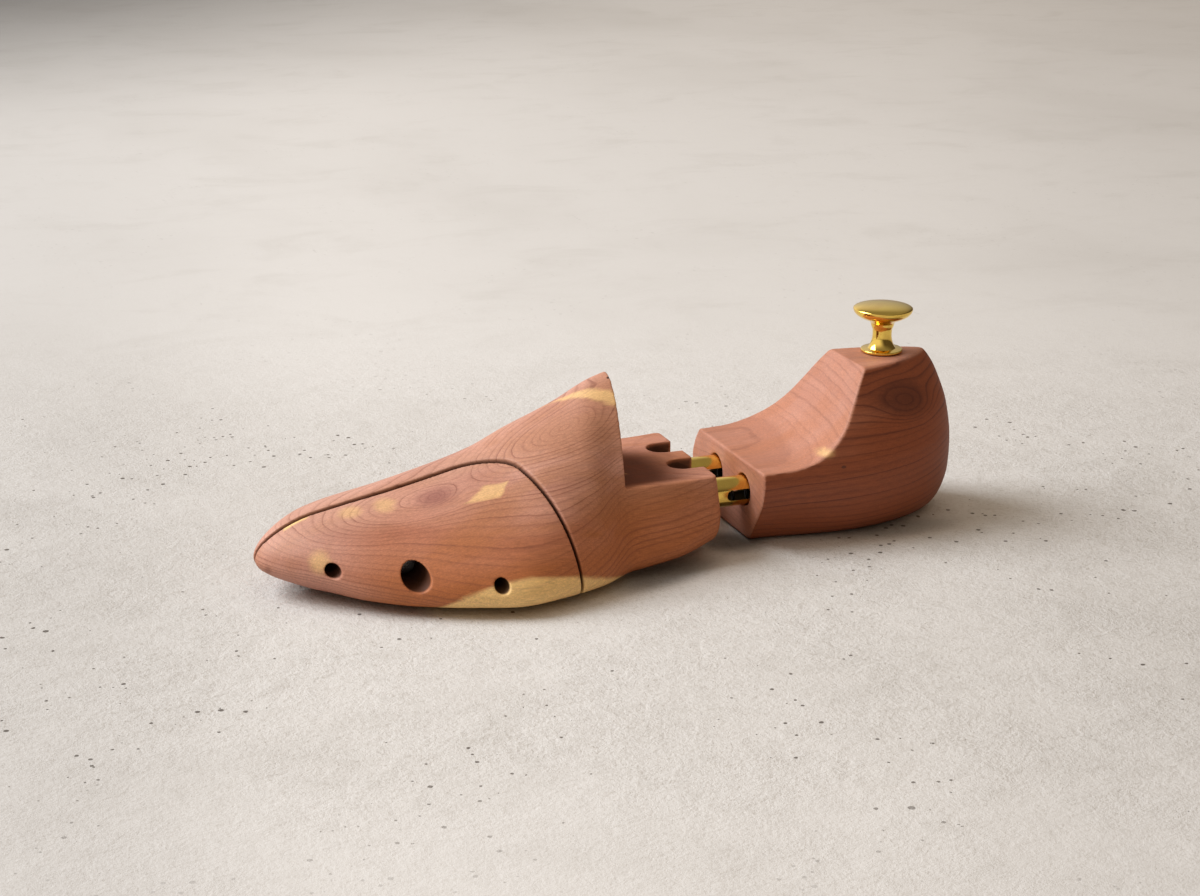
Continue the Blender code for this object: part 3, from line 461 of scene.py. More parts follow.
# %% Smooth lines and rounded outlines
def smooth_value(stations, place):
    """Reads a smooth curve without overshoot through (place, size) pairs."""
    if place <= stations[0][0]:
        return stations[0][1]
    if place >= stations[-1][0]:
        return stations[-1][1]
    rises = [(after[1] - before[1]) / (after[0] - before[0]) for before, after in zip(stations, stations[1:])]
    slopes = [rises[0]]
    for before, after in zip(rises, rises[1:]):
        slopes.append(2.0 * before * after / (before + after) if before * after > 0.0 else 0.0)
    slopes.append(rises[-1])
    index = max(i for i in range(len(rises)) if stations[i][0] <= place)
    (x0, y0), (x1, y1) = stations[index], stations[index + 1]
    span = x1 - x0
    t = (place - x0) / span
    return (
        (2 * t**3 - 3 * t**2 + 1) * y0
        + (t**3 - 2 * t**2 + t) * span * slopes[index]
        + (3 * t**2 - 2 * t**3) * y1
        + (t**3 - t**2) * span * slopes[index + 1]
    )


def rounded_outline(angles, across_fullness, up_fullness):
    """Points of a unit superellipse, with its own fullness for each direction."""
    across = np.sign(np.cos(angles)) * np.abs(np.cos(angles)) ** (2.0 / across_fullness)
    up = np.sign(np.sin(angles)) * np.abs(np.sin(angles)) ** (2.0 / up_fullness)
    return across, up


print("halfway between 0 and 4:", smooth_value([(0, 0), (1, 1), (2, 4)], 1.5))

# %% [markdown]
# ## The shape of the forepart
#
# The forepart fills the front half of a shoe. Its crest climbs from the toe to the instep, its outer
# side swells more than its inner one, and its sole is flat in the middle and lifts at the toe and the
# tail. The lines are given in percent of the length behind the toe tip and percent of a named size.

# %% Sizes and lines of the forepart
HEEL_FACE_X = -63.7 * MM
BLOCK_GAP = 17.5 * MM
FOREPART_LENGTH = 168.8 * MM
TAIL_REAR_X = HEEL_FACE_X - BLOCK_GAP
TOE_TIP_X = TAIL_REAR_X - FOREPART_LENGTH
CREST_HEIGHT = 70.0 * MM
TOE_LIFT = 4.4 * MM
TAIL_GIRTH_HEIGHT = 18.0 * MM
CREST_SIDE_SHIFT = 6.0 * MM
OUTER_REACH = 61.6 * MM
INNER_REACH = 36.6 * MM
NOSE_LENGTH_IN_PLAN = 30.0 * MM
NOSE_LENGTH_IN_SIDE = 22.0 * MM
NOSE_FULLNESS_IN_PLAN = 2.2
NOSE_FULLNESS_IN_SIDE = 2.0
TAIL_EDGE_ROUND = 2.6 * MM

CREST_LINE = [
    (0, 33.7), (12, 39.4), (20, 43.5), (30, 48.5), (39, 53.4), (50, 60.6), (59, 69.8), (69, 80.3), (78, 92.6),
    (89, 98.8), (100, 98.3),
]
SOLE_LINE = [(0, 100), (6, 77), (12, 36), (20, 9), (27, 0), (66, 0), (75, 7), (89, 30), (100, 59)]
GIRTH_LINE = [
    (0, 72), (12, 66), (20, 52), (30, 44.5), (39, 43), (50, 40.5), (59, 40.5), (69, 38), (78, 38), (89, 54),
    (100, 100),
]
CREST_SIDE_LINE = [(0, -100), (18, -33), (36, 17), (59, 50), (83, 33), (100, 0)]
OUTER_LINE = [
    (0, 34.7), (12, 49), (20, 65), (30, 80.8), (39, 92), (50, 100), (59, 95), (69, 84), (78, 68.6), (89, 64),
    (100, 55),
]
INNER_LINE = [
    (0, 27), (12, 59), (20, 80.5), (30, 91.5), (39, 98), (50, 100), (59, 98.4), (69, 95), (78, 92.3),
    (89, 91.3), (100, 92),
]
CREST_ROUNDNESS = [
    (0, 2.0), (12, 1.84), (20, 1.65), (30, 1.5), (39, 1.5), (50, 1.58), (59, 1.79), (69, 1.85), (78, 1.65),
    (100, 1.6),
]
FLANK_ROUNDNESS = [
    (0, 2.0), (12, 1.92), (20, 1.82), (30, 1.65), (39, 1.57), (50, 1.49), (59, 1.52), (69, 1.37), (78, 1.12),
    (100, 1.12),
]
SOLE_ROUNDNESS = [(0, 1.85), (12, 2.2), (20, 2.75), (30, 3.2), (69, 3.4), (89, 3.3), (100, 2.85)]
print("forepart", FOREPART_LENGTH / MM, "mm long, toe tip at", round(TOE_TIP_X / MM, 1))

# %% [markdown]
# A cross-section is a rounded outline whose four quarters have their own width and height. Skinning
# many of them, one behind the other, gives the block. Near the toe the sections shrink along a quarter
# of an ellipse, so the nose closes round; at the tail they shrink by a small radius, so that the rear
# edges are eased as on the sanded wood.

# %% Skin the forepart
def nose_share(distance, nose_length, fullness):
    """Share of the full size at a distance behind the toe tip: 0 at the tip, 1 past the nose."""
    if distance >= nose_length:
        return 1.0
    return (1.0 - (1.0 - distance / nose_length) ** fullness) ** (1.0 / fullness)


def edge_inset(distance_to_end, radius):
    """How far a rounded edge lies inside the full outline, near the end of a block."""
    if distance_to_end >= radius:
        return 0.0
    return radius - math.sqrt(radius**2 - (radius - distance_to_end) ** 2)


def forepart_section(distance, count):
    """Closed outline of the forepart at a distance behind the toe tip, as rows of x, y, z."""
    at = 100.0 * distance / FOREPART_LENGTH
    in_plan = nose_share(distance, NOSE_LENGTH_IN_PLAN, NOSE_FULLNESS_IN_PLAN)
    in_side = nose_share(distance, NOSE_LENGTH_IN_SIDE, NOSE_FULLNESS_IN_SIDE)
    inset = edge_inset(FOREPART_LENGTH - distance, TAIL_EDGE_ROUND)
    girth = TAIL_GIRTH_HEIGHT * smooth_value(GIRTH_LINE, at) / 100.0
    crest = CREST_SIDE_SHIFT * smooth_value(CREST_SIDE_LINE, at) / 100.0
    outer = (OUTER_REACH * smooth_value(OUTER_LINE, at) / 100.0 + crest) * in_plan - inset
    inner = (INNER_REACH * smooth_value(INNER_LINE, at) / 100.0 - crest) * in_plan - inset
    rise = (CREST_HEIGHT * smooth_value(CREST_LINE, at) / 100.0 - girth) * in_side
    drop = (girth - TOE_LIFT * smooth_value(SOLE_LINE, at) / 100.0) * in_side - inset
    sole = smooth_value(SOLE_ROUNDNESS, at)
    angles = 2.0 * np.pi * (np.arange(count) + 0.5) / count
    over = rounded_outline(angles, smooth_value(CREST_ROUNDNESS, at), smooth_value(FLANK_ROUNDNESS, at))
    under = rounded_outline(angles, sole, sole)
    across = np.where(np.sin(angles) > 0.0, over[0], under[0])
    up = np.where(np.sin(angles) > 0.0, over[1], under[1])
    y = crest + across * np.where(across > 0.0, inner, outer)
    z = girth + up * np.where(up > 0.0, rise, drop)
    return np.stack([np.full(count, TOE_TIP_X + distance), y, z], axis=1)


def skin(name, sections):
    """A closed mesh through sections of equal point count, capped at both ends."""
    count = len(sections[0])
    faces = []
    for ring in range(len(sections) - 1):
        first = ring * count
        for index in range(count):
            follow = (index + 1) % count
            faces.append((first + index, first + follow, first + count + follow, first + count + index))
    faces.append(tuple(range(count)))
    faces.append(tuple(range((len(sections) - 1) * count, len(sections) * count)))
    mesh = bpy.data.meshes.new(name)
    mesh.from_pydata(np.concatenate(sections).tolist(), [], faces)
    point_out(mesh)
    return mesh


def point_out(mesh):
    """Turns every face of a closed mesh outwards."""
    shape = bmesh.new()
    shape.from_mesh(mesh)
    bmesh.ops.recalc_face_normals(shape, faces=shape.faces)
    shape.to_mesh(mesh)
    shape.free()


def forepart_mesh(name, around=176, nose_rings=36, body_rings=150, tail_rings=10):
    """The whole forepart as one closed mesh, before it is cut."""
    distances = [
        NOSE_LENGTH_IN_PLAN * (1.0 - math.cos(math.pi / 2.0 * (ring + 0.15) / nose_rings))
        for ring in range(nose_rings)
    ]
    tail_start = FOREPART_LENGTH - TAIL_EDGE_ROUND
    distances += list(np.linspace(NOSE_LENGTH_IN_PLAN, tail_start, body_rings, endpoint=False))
    distances += [
        tail_start + TAIL_EDGE_ROUND * math.sin(math.pi / 2.0 * ring / tail_rings)
        for ring in range(tail_rings + 1)
    ]
    return skin(name, [forepart_section(distance, around) for distance in distances])


print("section points at the ball:", forepart_section(0.5 * FOREPART_LENGTH, 8).round(3).tolist()[:2])

# %% [markdown]
# ## Cutting wood
#
# The maker saws, bores and scoops the block after its outside is shaped. Booleans do the same: a cutter
# is a plain prism or bar that runs a little past the wood. The exact solver is slower than the fast one
# but never leaves a torn edge, and each cutter is removed once its cut is applied.
#
# A Boolean leaves knife edges and long thin faces. Real wood is sanded, so each block gets its edges
# bevelled, is skinned again with an even fine net, and is rubbed with a few passes of smoothing. Then
# each point of the net stores what the finish has to read: how deep it was cut below the carved surface,
# for painted shade inside bores and cuts, and on the heel block how far it is turned to the window, for
# painted light and shade.

# %% Cutters and cuts
CUT_FAR = 120.0 * MM
CUT_NEAR = 5.0 * MM
CUT_OVERLAP = 1.0 * MM
EDGE_SEGMENTS = 3
EDGE_SHARPER_THAN = math.radians(35.0)
RUB_STRENGTH = 0.5
AXIS_TURNS = {
    "X": Matrix.Rotation(math.radians(90.0), 4, "Y"),
    "Y": Matrix.Rotation(math.radians(-90.0), 4, "X"),
    "Z": Matrix.Identity(4),
}


def prism(name, outline, depth_axis, start, end):
    """A straight prism whose outline lies in the plane across depth_axis."""
    count = len(outline)
    points = []
    for depth in (start, end):
        points += [(a, depth, b) if depth_axis == "Y" else (a, b, depth) for a, b in outline]
    faces = [tuple(range(count)), tuple(range(count, 2 * count))]
    faces += [(i, (i + 1) % count, count + (i + 1) % count, count + i) for i in range(count)]
    mesh = bpy.data.meshes.new(name)
    mesh.from_pydata(points, [], faces)
    point_out(mesh)
    return add_object(name, mesh)


def bar(name, radius, axis, place, start, end, sides=64):
    """A round bar along X, Y or Z through a place; start and end are measured from the place."""
    shape = bmesh.new()
    bmesh.ops.create_cone(
        shape, cap_ends=True, segments=sides, radius1=radius, radius2=radius, depth=end - start,
    )
    bmesh.ops.translate(shape, verts=shape.verts, vec=(0.0, 0.0, (start + end) / 2.0))
    mesh = bpy.data.meshes.new(name)
    shape.to_mesh(mesh)
    shape.free()
    mesh.transform(Matrix.Translation(place) @ AXIS_TURNS[axis])
    return add_object(name, mesh)


def settle(piece):
    """Replaces a piece's mesh by what its modifiers make of it."""
    graph = bpy.context.evaluated_depsgraph_get()
    graph.update()
    mesh = bpy.data.meshes.new_from_object(piece.evaluated_get(graph))
    old = piece.data
    piece.modifiers.clear()
    piece.data = mesh
    mesh.name = piece.name
    bpy.data.meshes.remove(old)


def cut(piece, *cutters, operation="DIFFERENCE"):
    """Cuts a piece and removes the cutters."""
    for cutter in cutters:
        boolean = piece.modifiers.new(cutter.name, "BOOLEAN")
        boolean.operation = operation
        boolean.solver = "EXACT"
        boolean.object = cutter
        cutter.hide_render = True
    settle(piece)
    for cutter in cutters:
        mesh = cutter.data
        bpy.data.objects.remove(cutter)
        bpy.data.meshes.remove(mesh)


def rub(piece, passes, group=""):
    """Adds passes of smoothing, everywhere or on a vertex group."""
    sandpaper = piece.modifiers.new("sandpaper", "SMOOTH")
    sandpaper.factor = RUB_STRENGTH
    sandpaper.iterations = passes
    sandpaper.vertex_group = group


def rub_bottom(piece, height, passes):
    """Rubs the bottom edge rounder: every pass counts in full at the bottom, and not above height."""
    group = piece.vertex_groups.new(name="bottom")
    for vertex in piece.data.vertices:
        if vertex.co.z < height:
            group.add([vertex.index], 1.0 - vertex.co.z / height, "REPLACE")
    rub(piece, passes, "bottom")
    settle(piece)
    piece.vertex_groups.clear()


def ease_edges(piece, grain, edge_round, passes=3, most_triangles=185000, bottom=None):
    """Rounds the cut edges, re-skins the block with an even fine net, rubs and thins the net."""
    edges = piece.modifiers.new("round_edges", "BEVEL")
    edges.width = edge_round
    edges.segments = EDGE_SEGMENTS
    edges.limit_method = "ANGLE"
    edges.angle_limit = EDGE_SHARPER_THAN
    edges.use_clamp_overlap = False
    remesh = piece.modifiers.new("even_net", "REMESH")
    remesh.mode = "VOXEL"
    remesh.voxel_size = grain
    remesh.use_smooth_shade = True
    rub(piece, passes)
    settle(piece)
    if bottom:
        rub_bottom(piece, *bottom)
    found = 2 * len(piece.data.polygons)
    if found > most_triangles:
        thin = piece.modifiers.new("thin_net", "DECIMATE")
        thin.ratio = most_triangles / found
        settle(piece)
    piece.data.shade_smooth()
    print(piece.name, "net of", found, "triangles thinned to", len(piece.data.polygons))


def whole_surface(piece):
    """A search tree over the surface as it is now, to measure later cuts from."""
    points = [point.co.copy() for point in piece.data.vertices]
    return BVHTree.FromPolygons(points, [tuple(face.vertices) for face in piece.data.polygons])


def store(piece, name, values):
    """Stores a number on each point of a piece."""
    piece.data.attributes.new(name, "FLOAT", "POINT").data.foreach_set("value", values)
    print(piece.name, name, "from", round(min(values), 2), "to", round(max(values), 2))


def mark_cut_depth(piece, surface):
    """Stores how many millimetres each point lies below the surface that was there before the cuts."""
    store(piece, "cut_depth", [surface.find_nearest(point.co)[3] / MM for point in piece.data.vertices])


def mark_window_facing(piece, light_side):
    """Stores how far each point is turned to the window, for painted light and shade: 1 straight at it, -1
    away.
    """
    store(piece, "window_facing", [point.normal.dot(light_side) for point in piece.data.vertices])


print("cutters ready")

# %% [markdown]
# ## The forepart and its sprung toe section
#
# A saw cut 1 mm wide runs from the toe tip along the crest, turns in a quarter circle towards the outer
# side and leaves the block at its widest place. The loose side rides on two guide pins and is pushed out
# by a spring, so along the crest the cut stands 1.2 mm wider. Both blocks are cut from the same skin, so
# their surfaces run on across the saw cut.

# %% Lines of the saw cut
KERF_Y = -5.0 * MM
KERF_WIDTH = 1.0 * MM
KERF_SPRING_OUT = 1.2 * MM
KERF_TURN_X = TOE_TIP_X + 72.3 * MM
KERF_TURN_RADIUS = 23.4 * MM
KERF_EXIT_ANGLE = math.radians(17.8)


def kerf_line(offset, sideways, steps=40):
    """Plan view of one wall of the saw cut, from in front of the toe to past the outer side."""
    centre_y = KERF_Y - KERF_TURN_RADIUS
    radius = KERF_TURN_RADIUS + offset
    points = [(TOE_TIP_X - CUT_NEAR, KERF_Y + offset + sideways)]
    for step in range(steps + 1):
        angle = math.pi / 2.0 - (math.pi / 2.0 - KERF_EXIT_ANGLE) * step / steps
        across = centre_y + radius * math.sin(angle) + sideways
        points.append((KERF_TURN_X + radius * math.cos(angle), across))
    x, y = points[-1]
    points.append((x + CUT_FAR * math.sin(KERF_EXIT_ANGLE), y - CUT_FAR * math.cos(KERF_EXIT_ANGLE)))
    return points


def toe_region(name, offset, sideways):
    """A tall prism over the toe section, bounded by one wall of the saw cut."""
    outline = kerf_line(offset, sideways)
    outline.append((TOE_TIP_X - CUT_NEAR, outline[-1][1]))
    return prism(name, outline, "Z", -CUT_NEAR, CUT_FAR)


print("saw cut turns at", round(KERF_TURN_X / MM, 1), "mm")

# %% [markdown]
# The tail is sawn down to a flat step behind the instep, and two round-ended notches are milled into it
# above the tubes. The bores take the tubes, their anchor pins, the guide pins and the toe's stop screw.

# %% Sizes of the tail, bores and holes
SEAT_GAP = 0.3 * MM
PIN_SLIDE_GAP = 0.4 * MM
TUBE_SLIDE_GAP = 0.4 * MM
TUBE_DIAMETER = 11.4 * MM
TUBE_WALL = 0.8 * MM
TUBE_SPACING = 25.9 * MM
TUBE_HEIGHT = 18.8 * MM
TUBE_FRONT_X = TAIL_REAR_X - 45.0 * MM
TUBE_REAR_X = HEEL_FACE_X + 24.0 * MM
SIDES = {"outer": -1, "inner": 1}
ANCHOR_PIN_DIAMETER = 3.0 * MM
ANCHOR_PIN_X = TUBE_FRONT_X + 6.0 * MM
ANCHOR_PIN_RECESS = 3.5 * MM
ANCHOR_PIN_TOP = TUBE_HEIGHT + TUBE_DIAMETER / 2.0 + 3.4 * MM
TAIL_TOP_HEIGHT = 31.2 * MM
INSTEP_FOOT_X = -118.3 * MM
INSTEP_LEAN = 0.14
NOTCH_WIDTH = 11.4 * MM
NOTCH_LENGTH = 12.2 * MM
NOTCH_DEPTH = 5.0 * MM
NOTCH_SPACING = 20.8 * MM
GUIDE_PIN_DIAMETER = 4.4 * MM
GUIDE_PIN_LENGTH = 34.0 * MM
GUIDE_PIN_END_Y = 15.0 * MM
GUIDE_PLACES = {
    "front": (TOE_TIP_X + 22.7 * MM, 0.0, 14.3 * MM),
    "rear": (TOE_TIP_X + 75.5 * MM, 0.0, 11.5 * MM),
}
SCREW_PLACE = (TOE_TIP_X + 48.3 * MM, 0.0, 13.9 * MM)
SCREW_SHANK_DIAMETER = 3.6 * MM
SCREW_HOLE_CLEARANCE = 0.5 * MM
COUNTERBORE_DIAMETER = 9.4 * MM
WEB_OUTER_Y = -26.0 * MM
WEB_INNER_Y = WEB_OUTER_Y + 8.0 * MM
INSERT_DIAMETER = 7.0 * MM
INSERT_LENGTH = 10.0 * MM
SPRING_POCKET_DIAMETER = 9.0 * MM
SPRING_POCKET_END_Y = 6.0 * MM


def tube_place(side):
    return (0.0, side * TUBE_SPACING / 2.0, TUBE_HEIGHT)


print("tubes run from", round(TUBE_FRONT_X / MM, 1), "to", round(TUBE_REAR_X / MM, 1), "mm")

# %% [markdown]
# The tail's top belongs to the carved outside, so it is cut first. The surface is kept at that moment, and
# the saw cut, the notches and the bores that follow are measured from it.

# %% Cut the forepart block
FOREPART_NET = 0.42 * MM
CUT_EDGE_ROUND = 0.4 * MM


def tail_top_cutter():
    lean = INSTEP_LEAN * (CUT_FAR - TAIL_TOP_HEIGHT)
    rear = TAIL_REAR_X + CUT_NEAR
    outline = [
        (INSTEP_FOOT_X, TAIL_TOP_HEIGHT), (rear, TAIL_TOP_HEIGHT), (rear, CUT_FAR),
        (INSTEP_FOOT_X + lean, CUT_FAR),
    ]
    return prism("cut_tail_top", outline, "Y", -CUT_FAR, CUT_FAR)


def notch_cutters():
    cutters = []
    rear = TAIL_REAR_X + CUT_NEAR
    radius = NOTCH_WIDTH / 2.0
    bottom, top = TAIL_TOP_HEIGHT - NOTCH_DEPTH, TAIL_TOP_HEIGHT + CUT_NEAR
    for side_name, side in SIDES.items():
        middle = side * NOTCH_SPACING / 2.0
        centre_x = TAIL_REAR_X - NOTCH_LENGTH + radius
        outline = [(rear, middle - radius), (rear, middle + radius)]
        for angle in np.linspace(np.pi / 2.0, 1.5 * np.pi, 33):
            outline.append((centre_x + radius * math.cos(angle), middle + radius * math.sin(angle)))
        cutters.append(prism(f"cut_notch_{side_name}", outline, "Z", bottom, top))
    return cutters


def forepart_bores():
    cutters = []
    tube_radius = TUBE_DIAMETER / 2.0 + SEAT_GAP
    anchor_radius = ANCHOR_PIN_DIAMETER / 2.0 + SEAT_GAP
    guide_radius = GUIDE_PIN_DIAMETER / 2.0 + SEAT_GAP
    pocket_radius = SPRING_POCKET_DIAMETER / 2.0
    insert_radius = INSERT_DIAMETER / 2.0 + SEAT_GAP
    for side_name, side in SIDES.items():
        place = tube_place(side)
        start, end = TUBE_FRONT_X - SEAT_GAP, TAIL_REAR_X + CUT_NEAR
        cutters.append(bar(f"cut_tube_{side_name}", tube_radius, "X", place, start, end))
        place = (ANCHOR_PIN_X, place[1], 0.0)
        start, end = -CUT_NEAR, ANCHOR_PIN_TOP + SEAT_GAP
        cutters.append(bar(f"cut_anchor_{side_name}", anchor_radius, "Z", place, start, end))
    start, end = KERF_Y - CUT_NEAR, GUIDE_PIN_END_Y + SEAT_GAP
    for end_name, place in GUIDE_PLACES.items():
        cutters.append(bar(f"cut_guide_{end_name}", guide_radius, "Y", place, start, end))
    cutters.append(bar("cut_pocket", pocket_radius, "Y", SCREW_PLACE, start, SPRING_POCKET_END_Y))
    start = SPRING_POCKET_END_Y - CUT_OVERLAP
    end = SPRING_POCKET_END_Y + INSERT_LENGTH + 2.0 * SEAT_GAP
    cutters.append(bar("cut_insert", insert_radius, "Y", SCREW_PLACE, start, end))
    return cutters


forepart = add_object("forepart_wood", forepart_mesh("forepart_wood"))
cut(forepart, tail_top_cutter())
forepart_surface = whole_surface(forepart)
cut(forepart, toe_region("cut_toe_region", KERF_WIDTH / 2.0, 0.0), *notch_cutters(), *forepart_bores())
ease_edges(forepart, FOREPART_NET, CUT_EDGE_ROUND)
mark_cut_depth(forepart, forepart_surface)

# %% [markdown]
# The toe section starts from the same skin. Keeping only what lies inside the other wall of the saw cut,
# moved out by the spring, is one INTERSECT. Then come its two sliding holes, and the stepped hole of the
# stop screw, which leaves a web of wood for the washer to bear on.

# %% Cut the sprung toe section
TOE_SIDE_NET = 0.36 * MM


def toe_side_bores():
    inside = KERF_Y + CUT_NEAR
    slide_radius = GUIDE_PIN_DIAMETER / 2.0 + PIN_SLIDE_GAP
    screw_radius = SCREW_SHANK_DIAMETER / 2.0 + SCREW_HOLE_CLEARANCE
    cutters = [
        bar(f"cut_slide_{end_name}", slide_radius, "Y", place, -CUT_FAR, inside)
        for end_name, place in GUIDE_PLACES.items()
    ]
    for name, radius, start, end in (
        ("cut_counterbore", COUNTERBORE_DIAMETER / 2.0, -CUT_FAR, WEB_OUTER_Y),
        ("cut_toe_pocket", SPRING_POCKET_DIAMETER / 2.0, WEB_INNER_Y, inside),
        ("cut_screw_hole", screw_radius, WEB_OUTER_Y - CUT_OVERLAP, WEB_INNER_Y + CUT_OVERLAP),
    ):
        cutters.append(bar(name, radius, "Y", SCREW_PLACE, start, end))
    return cutters


toe_side = add_object("toe_side_wood", forepart_mesh("toe_side_wood"))
cut(toe_side, toe_region("keep_toe_region", -KERF_WIDTH / 2.0, -KERF_SPRING_OUT), operation="INTERSECT")
cut(toe_side, *toe_side_bores())
ease_edges(toe_side, TOE_SIDE_NET, CUT_EDGE_ROUND)
mark_cut_depth(toe_side, forepart_surface)

# %% [markdown]
# ## The heel block
#
# The heel block is a short pillar, rounded at the back and flat in front. Its levels are outlines seen
# from above, one over the other, each a superellipse at the back that runs forward to the face. A big
# scoop takes the front away up to the platform that carries the knob.

# %% Sizes and lines of the heel block
HEEL_HEIGHT = 63.5 * MM
HEEL_FRONT_HEIGHT = 30.4 * MM
HEEL_MIDDLE_X = -25.0 * MM
PLATFORM_FRONT_X = -16.9 * MM
HEEL_OUTER_REACH = 33.8 * MM
HEEL_INNER_REACH = 35.5 * MM
HEEL_FACE_OUTER_REACH = 32.4 * MM
HEEL_FACE_INNER_REACH = 36.4 * MM
HEEL_BACK_REACH = 29.0 * MM
HEEL_TRAVEL = 16.5 * MM
BORE_RUNOUT = 1.5 * MM
STOP_PIN_DIAMETER = 3.2 * MM
STOP_PIN_X = HEEL_FACE_X + 15.0 * MM
STOP_PIN_REACH = TUBE_SPACING / 2.0 + TUBE_DIAMETER / 2.0 + 3.2 * MM
PIN_PLUG_LENGTH = 13.0 * MM
STUD_DIAMETER = 5.0 * MM
STUD_IN_KNOB = 9.0 * MM
STUD_IN_HEEL = 25.0 * MM

HEEL_OUTER_LINE = [
    (0, 62), (1.6, 69.5), (4.7, 78.5), (11, 89), (19, 95.5), (28, 99.4), (39, 100), (49, 97.6), (58, 91.8),
    (69, 83.8), (79, 74), (90, 65.5), (96, 62), (98.7, 60), (100, 57.4),
]
HEEL_INNER_LINE = [
    (0, 59), (1.6, 66), (4.7, 74.6), (11, 86), (19, 94.4), (28, 100), (39, 98.6), (49, 91), (58, 77.2),
    (69, 64.2), (79, 54), (90, 42.8), (96, 36.3), (98.7, 33.2), (100, 29.3),
]
HEEL_FACE_OUTER_LINE = [
    (0, 52.5), (1.6, 59), (4.7, 65), (11, 73.5), (19, 85), (28, 95.4), (39, 100), (49, 96), (100, 61.7),
]
HEEL_FACE_INNER_LINE = [
    (0, 46.7), (1.6, 52.7), (4.7, 61.8), (11, 77), (19, 91.2), (28, 100), (39, 93.4), (49, 81), (100, 38.5),
]
HEEL_BACK_LINE = [
    (0, 65.5), (1.6, 73), (4.7, 81.4), (11, 89.7), (19, 95.9), (28, 99.3), (39, 100), (49, 99.3), (58, 97.2),
    (69, 92.8), (79, 86.2), (90, 76.6), (96, 68.3), (98.7, 63.4), (100, 60),
]
HEEL_PLAN_FULLNESS = [(0, 1.85), (31, 1.92), (71, 2.0), (100, 1.55)]
SCOOP_LINE = [
    (8, 0), (21, 0.6), (33.5, 2.7), (44, 6.6), (54, 13.3), (62.5, 21.8), (70, 32), (76.3, 43.5), (81.8, 55.6),
    (87, 68.3), (92, 81.5), (96.8, 93), (100, 100.3), (102, 105),
]
print("heel block", HEEL_HEIGHT / MM, "mm high")

# %% [markdown]
# The levels are skinned from the floor up, close together near both ends where the edges are rounded.
# The flat face and the scoop are cut before the surface is kept, the bores after it. At last the bottom
# edge is rubbed much rounder than the others, as on a block that is sanded by hand.

# %% Skin, scoop and bore the heel block
HEEL_NET = 0.42 * MM
HEEL_EDGE_ROUND = 0.8 * MM
HEEL_BOTTOM_ROUND = 5.0 * MM
HEEL_BOTTOM_PASSES = 60


def heel_level(at, back_steps=110, side_steps=40):
    """Closed outline of the heel block at a percentage of its height."""
    height = HEEL_HEIGHT * at / 100.0
    outer_middle = HEEL_OUTER_REACH * smooth_value(HEEL_OUTER_LINE, at) / 100.0
    inner_middle = HEEL_INNER_REACH * smooth_value(HEEL_INNER_LINE, at) / 100.0
    outer_face = HEEL_FACE_OUTER_REACH * smooth_value(HEEL_FACE_OUTER_LINE, at) / 100.0
    inner_face = HEEL_FACE_INNER_REACH * smooth_value(HEEL_FACE_INNER_LINE, at) / 100.0
    back = HEEL_BACK_REACH * smooth_value(HEEL_BACK_LINE, at) / 100.0 - HEEL_MIDDLE_X
    fullness = smooth_value(HEEL_PLAN_FULLNESS, at)
    angles = np.linspace(-np.pi / 2.0, np.pi / 2.0, back_steps + 1)
    along, across = rounded_outline(angles, fullness, fullness)
    x = HEEL_MIDDLE_X + along * back
    y = across * np.where(across > 0.0, inner_middle, outer_middle)
    share = np.arange(1, side_steps + 1) / side_steps
    ease = share * share * (3.0 - 2.0 * share)
    side_x = HEEL_MIDDLE_X + (HEEL_FACE_X - CUT_OVERLAP - HEEL_MIDDLE_X) * share
    x = np.concatenate([x, side_x, side_x[::-1]])
    inner_y = inner_middle + (inner_face - inner_middle) * ease
    outer_y = -outer_middle - (outer_face - outer_middle) * ease
    y = np.concatenate([y, inner_y, outer_y[::-1]])
    return np.stack([x, y, np.full(len(x), height)], axis=1)


def scoop_cutter():
    run = PLATFORM_FRONT_X - HEEL_FACE_X
    rise = HEEL_HEIGHT - HEEL_FRONT_HEIGHT
    front = HEEL_FACE_X - CUT_NEAR
    outline = [(front, HEEL_FRONT_HEIGHT)]
    for along in np.linspace(SCOOP_LINE[0][0], SCOOP_LINE[-1][0], 90):
        up = smooth_value(SCOOP_LINE, along)
        outline.append((HEEL_FACE_X + run * along / 100.0, HEEL_FRONT_HEIGHT + rise * up / 100.0))
    outline += [(outline[-1][0], CUT_FAR), (front, CUT_FAR)]
    return prism("cut_scoop", outline, "Y", -CUT_FAR, CUT_FAR)


def heel_bores():
    cutters = []
    bore_end = TUBE_REAR_X + HEEL_TRAVEL + BORE_RUNOUT
    radius = TUBE_DIAMETER / 2.0 + TUBE_SLIDE_GAP
    for side_name, side in SIDES.items():
        start = HEEL_FACE_X - CUT_NEAR
        cutters.append(bar(f"cut_heel_bore_{side_name}", radius, "X", tube_place(side), start, bore_end))
    place = (STOP_PIN_X, 0.0, TUBE_HEIGHT)
    radius = STOP_PIN_DIAMETER / 2.0 + SEAT_GAP
    cutters.append(bar("cut_stop_pin", radius, "Y", place, -STOP_PIN_REACH - SEAT_GAP, CUT_FAR))
    radius = STUD_DIAMETER / 2.0 + SEAT_GAP
    start = HEEL_HEIGHT - STUD_IN_HEEL - SEAT_GAP
    cutters.append(bar("cut_stud", radius, "Z", (0.0, 0.0, 0.0), start, CUT_FAR))
    return cutters


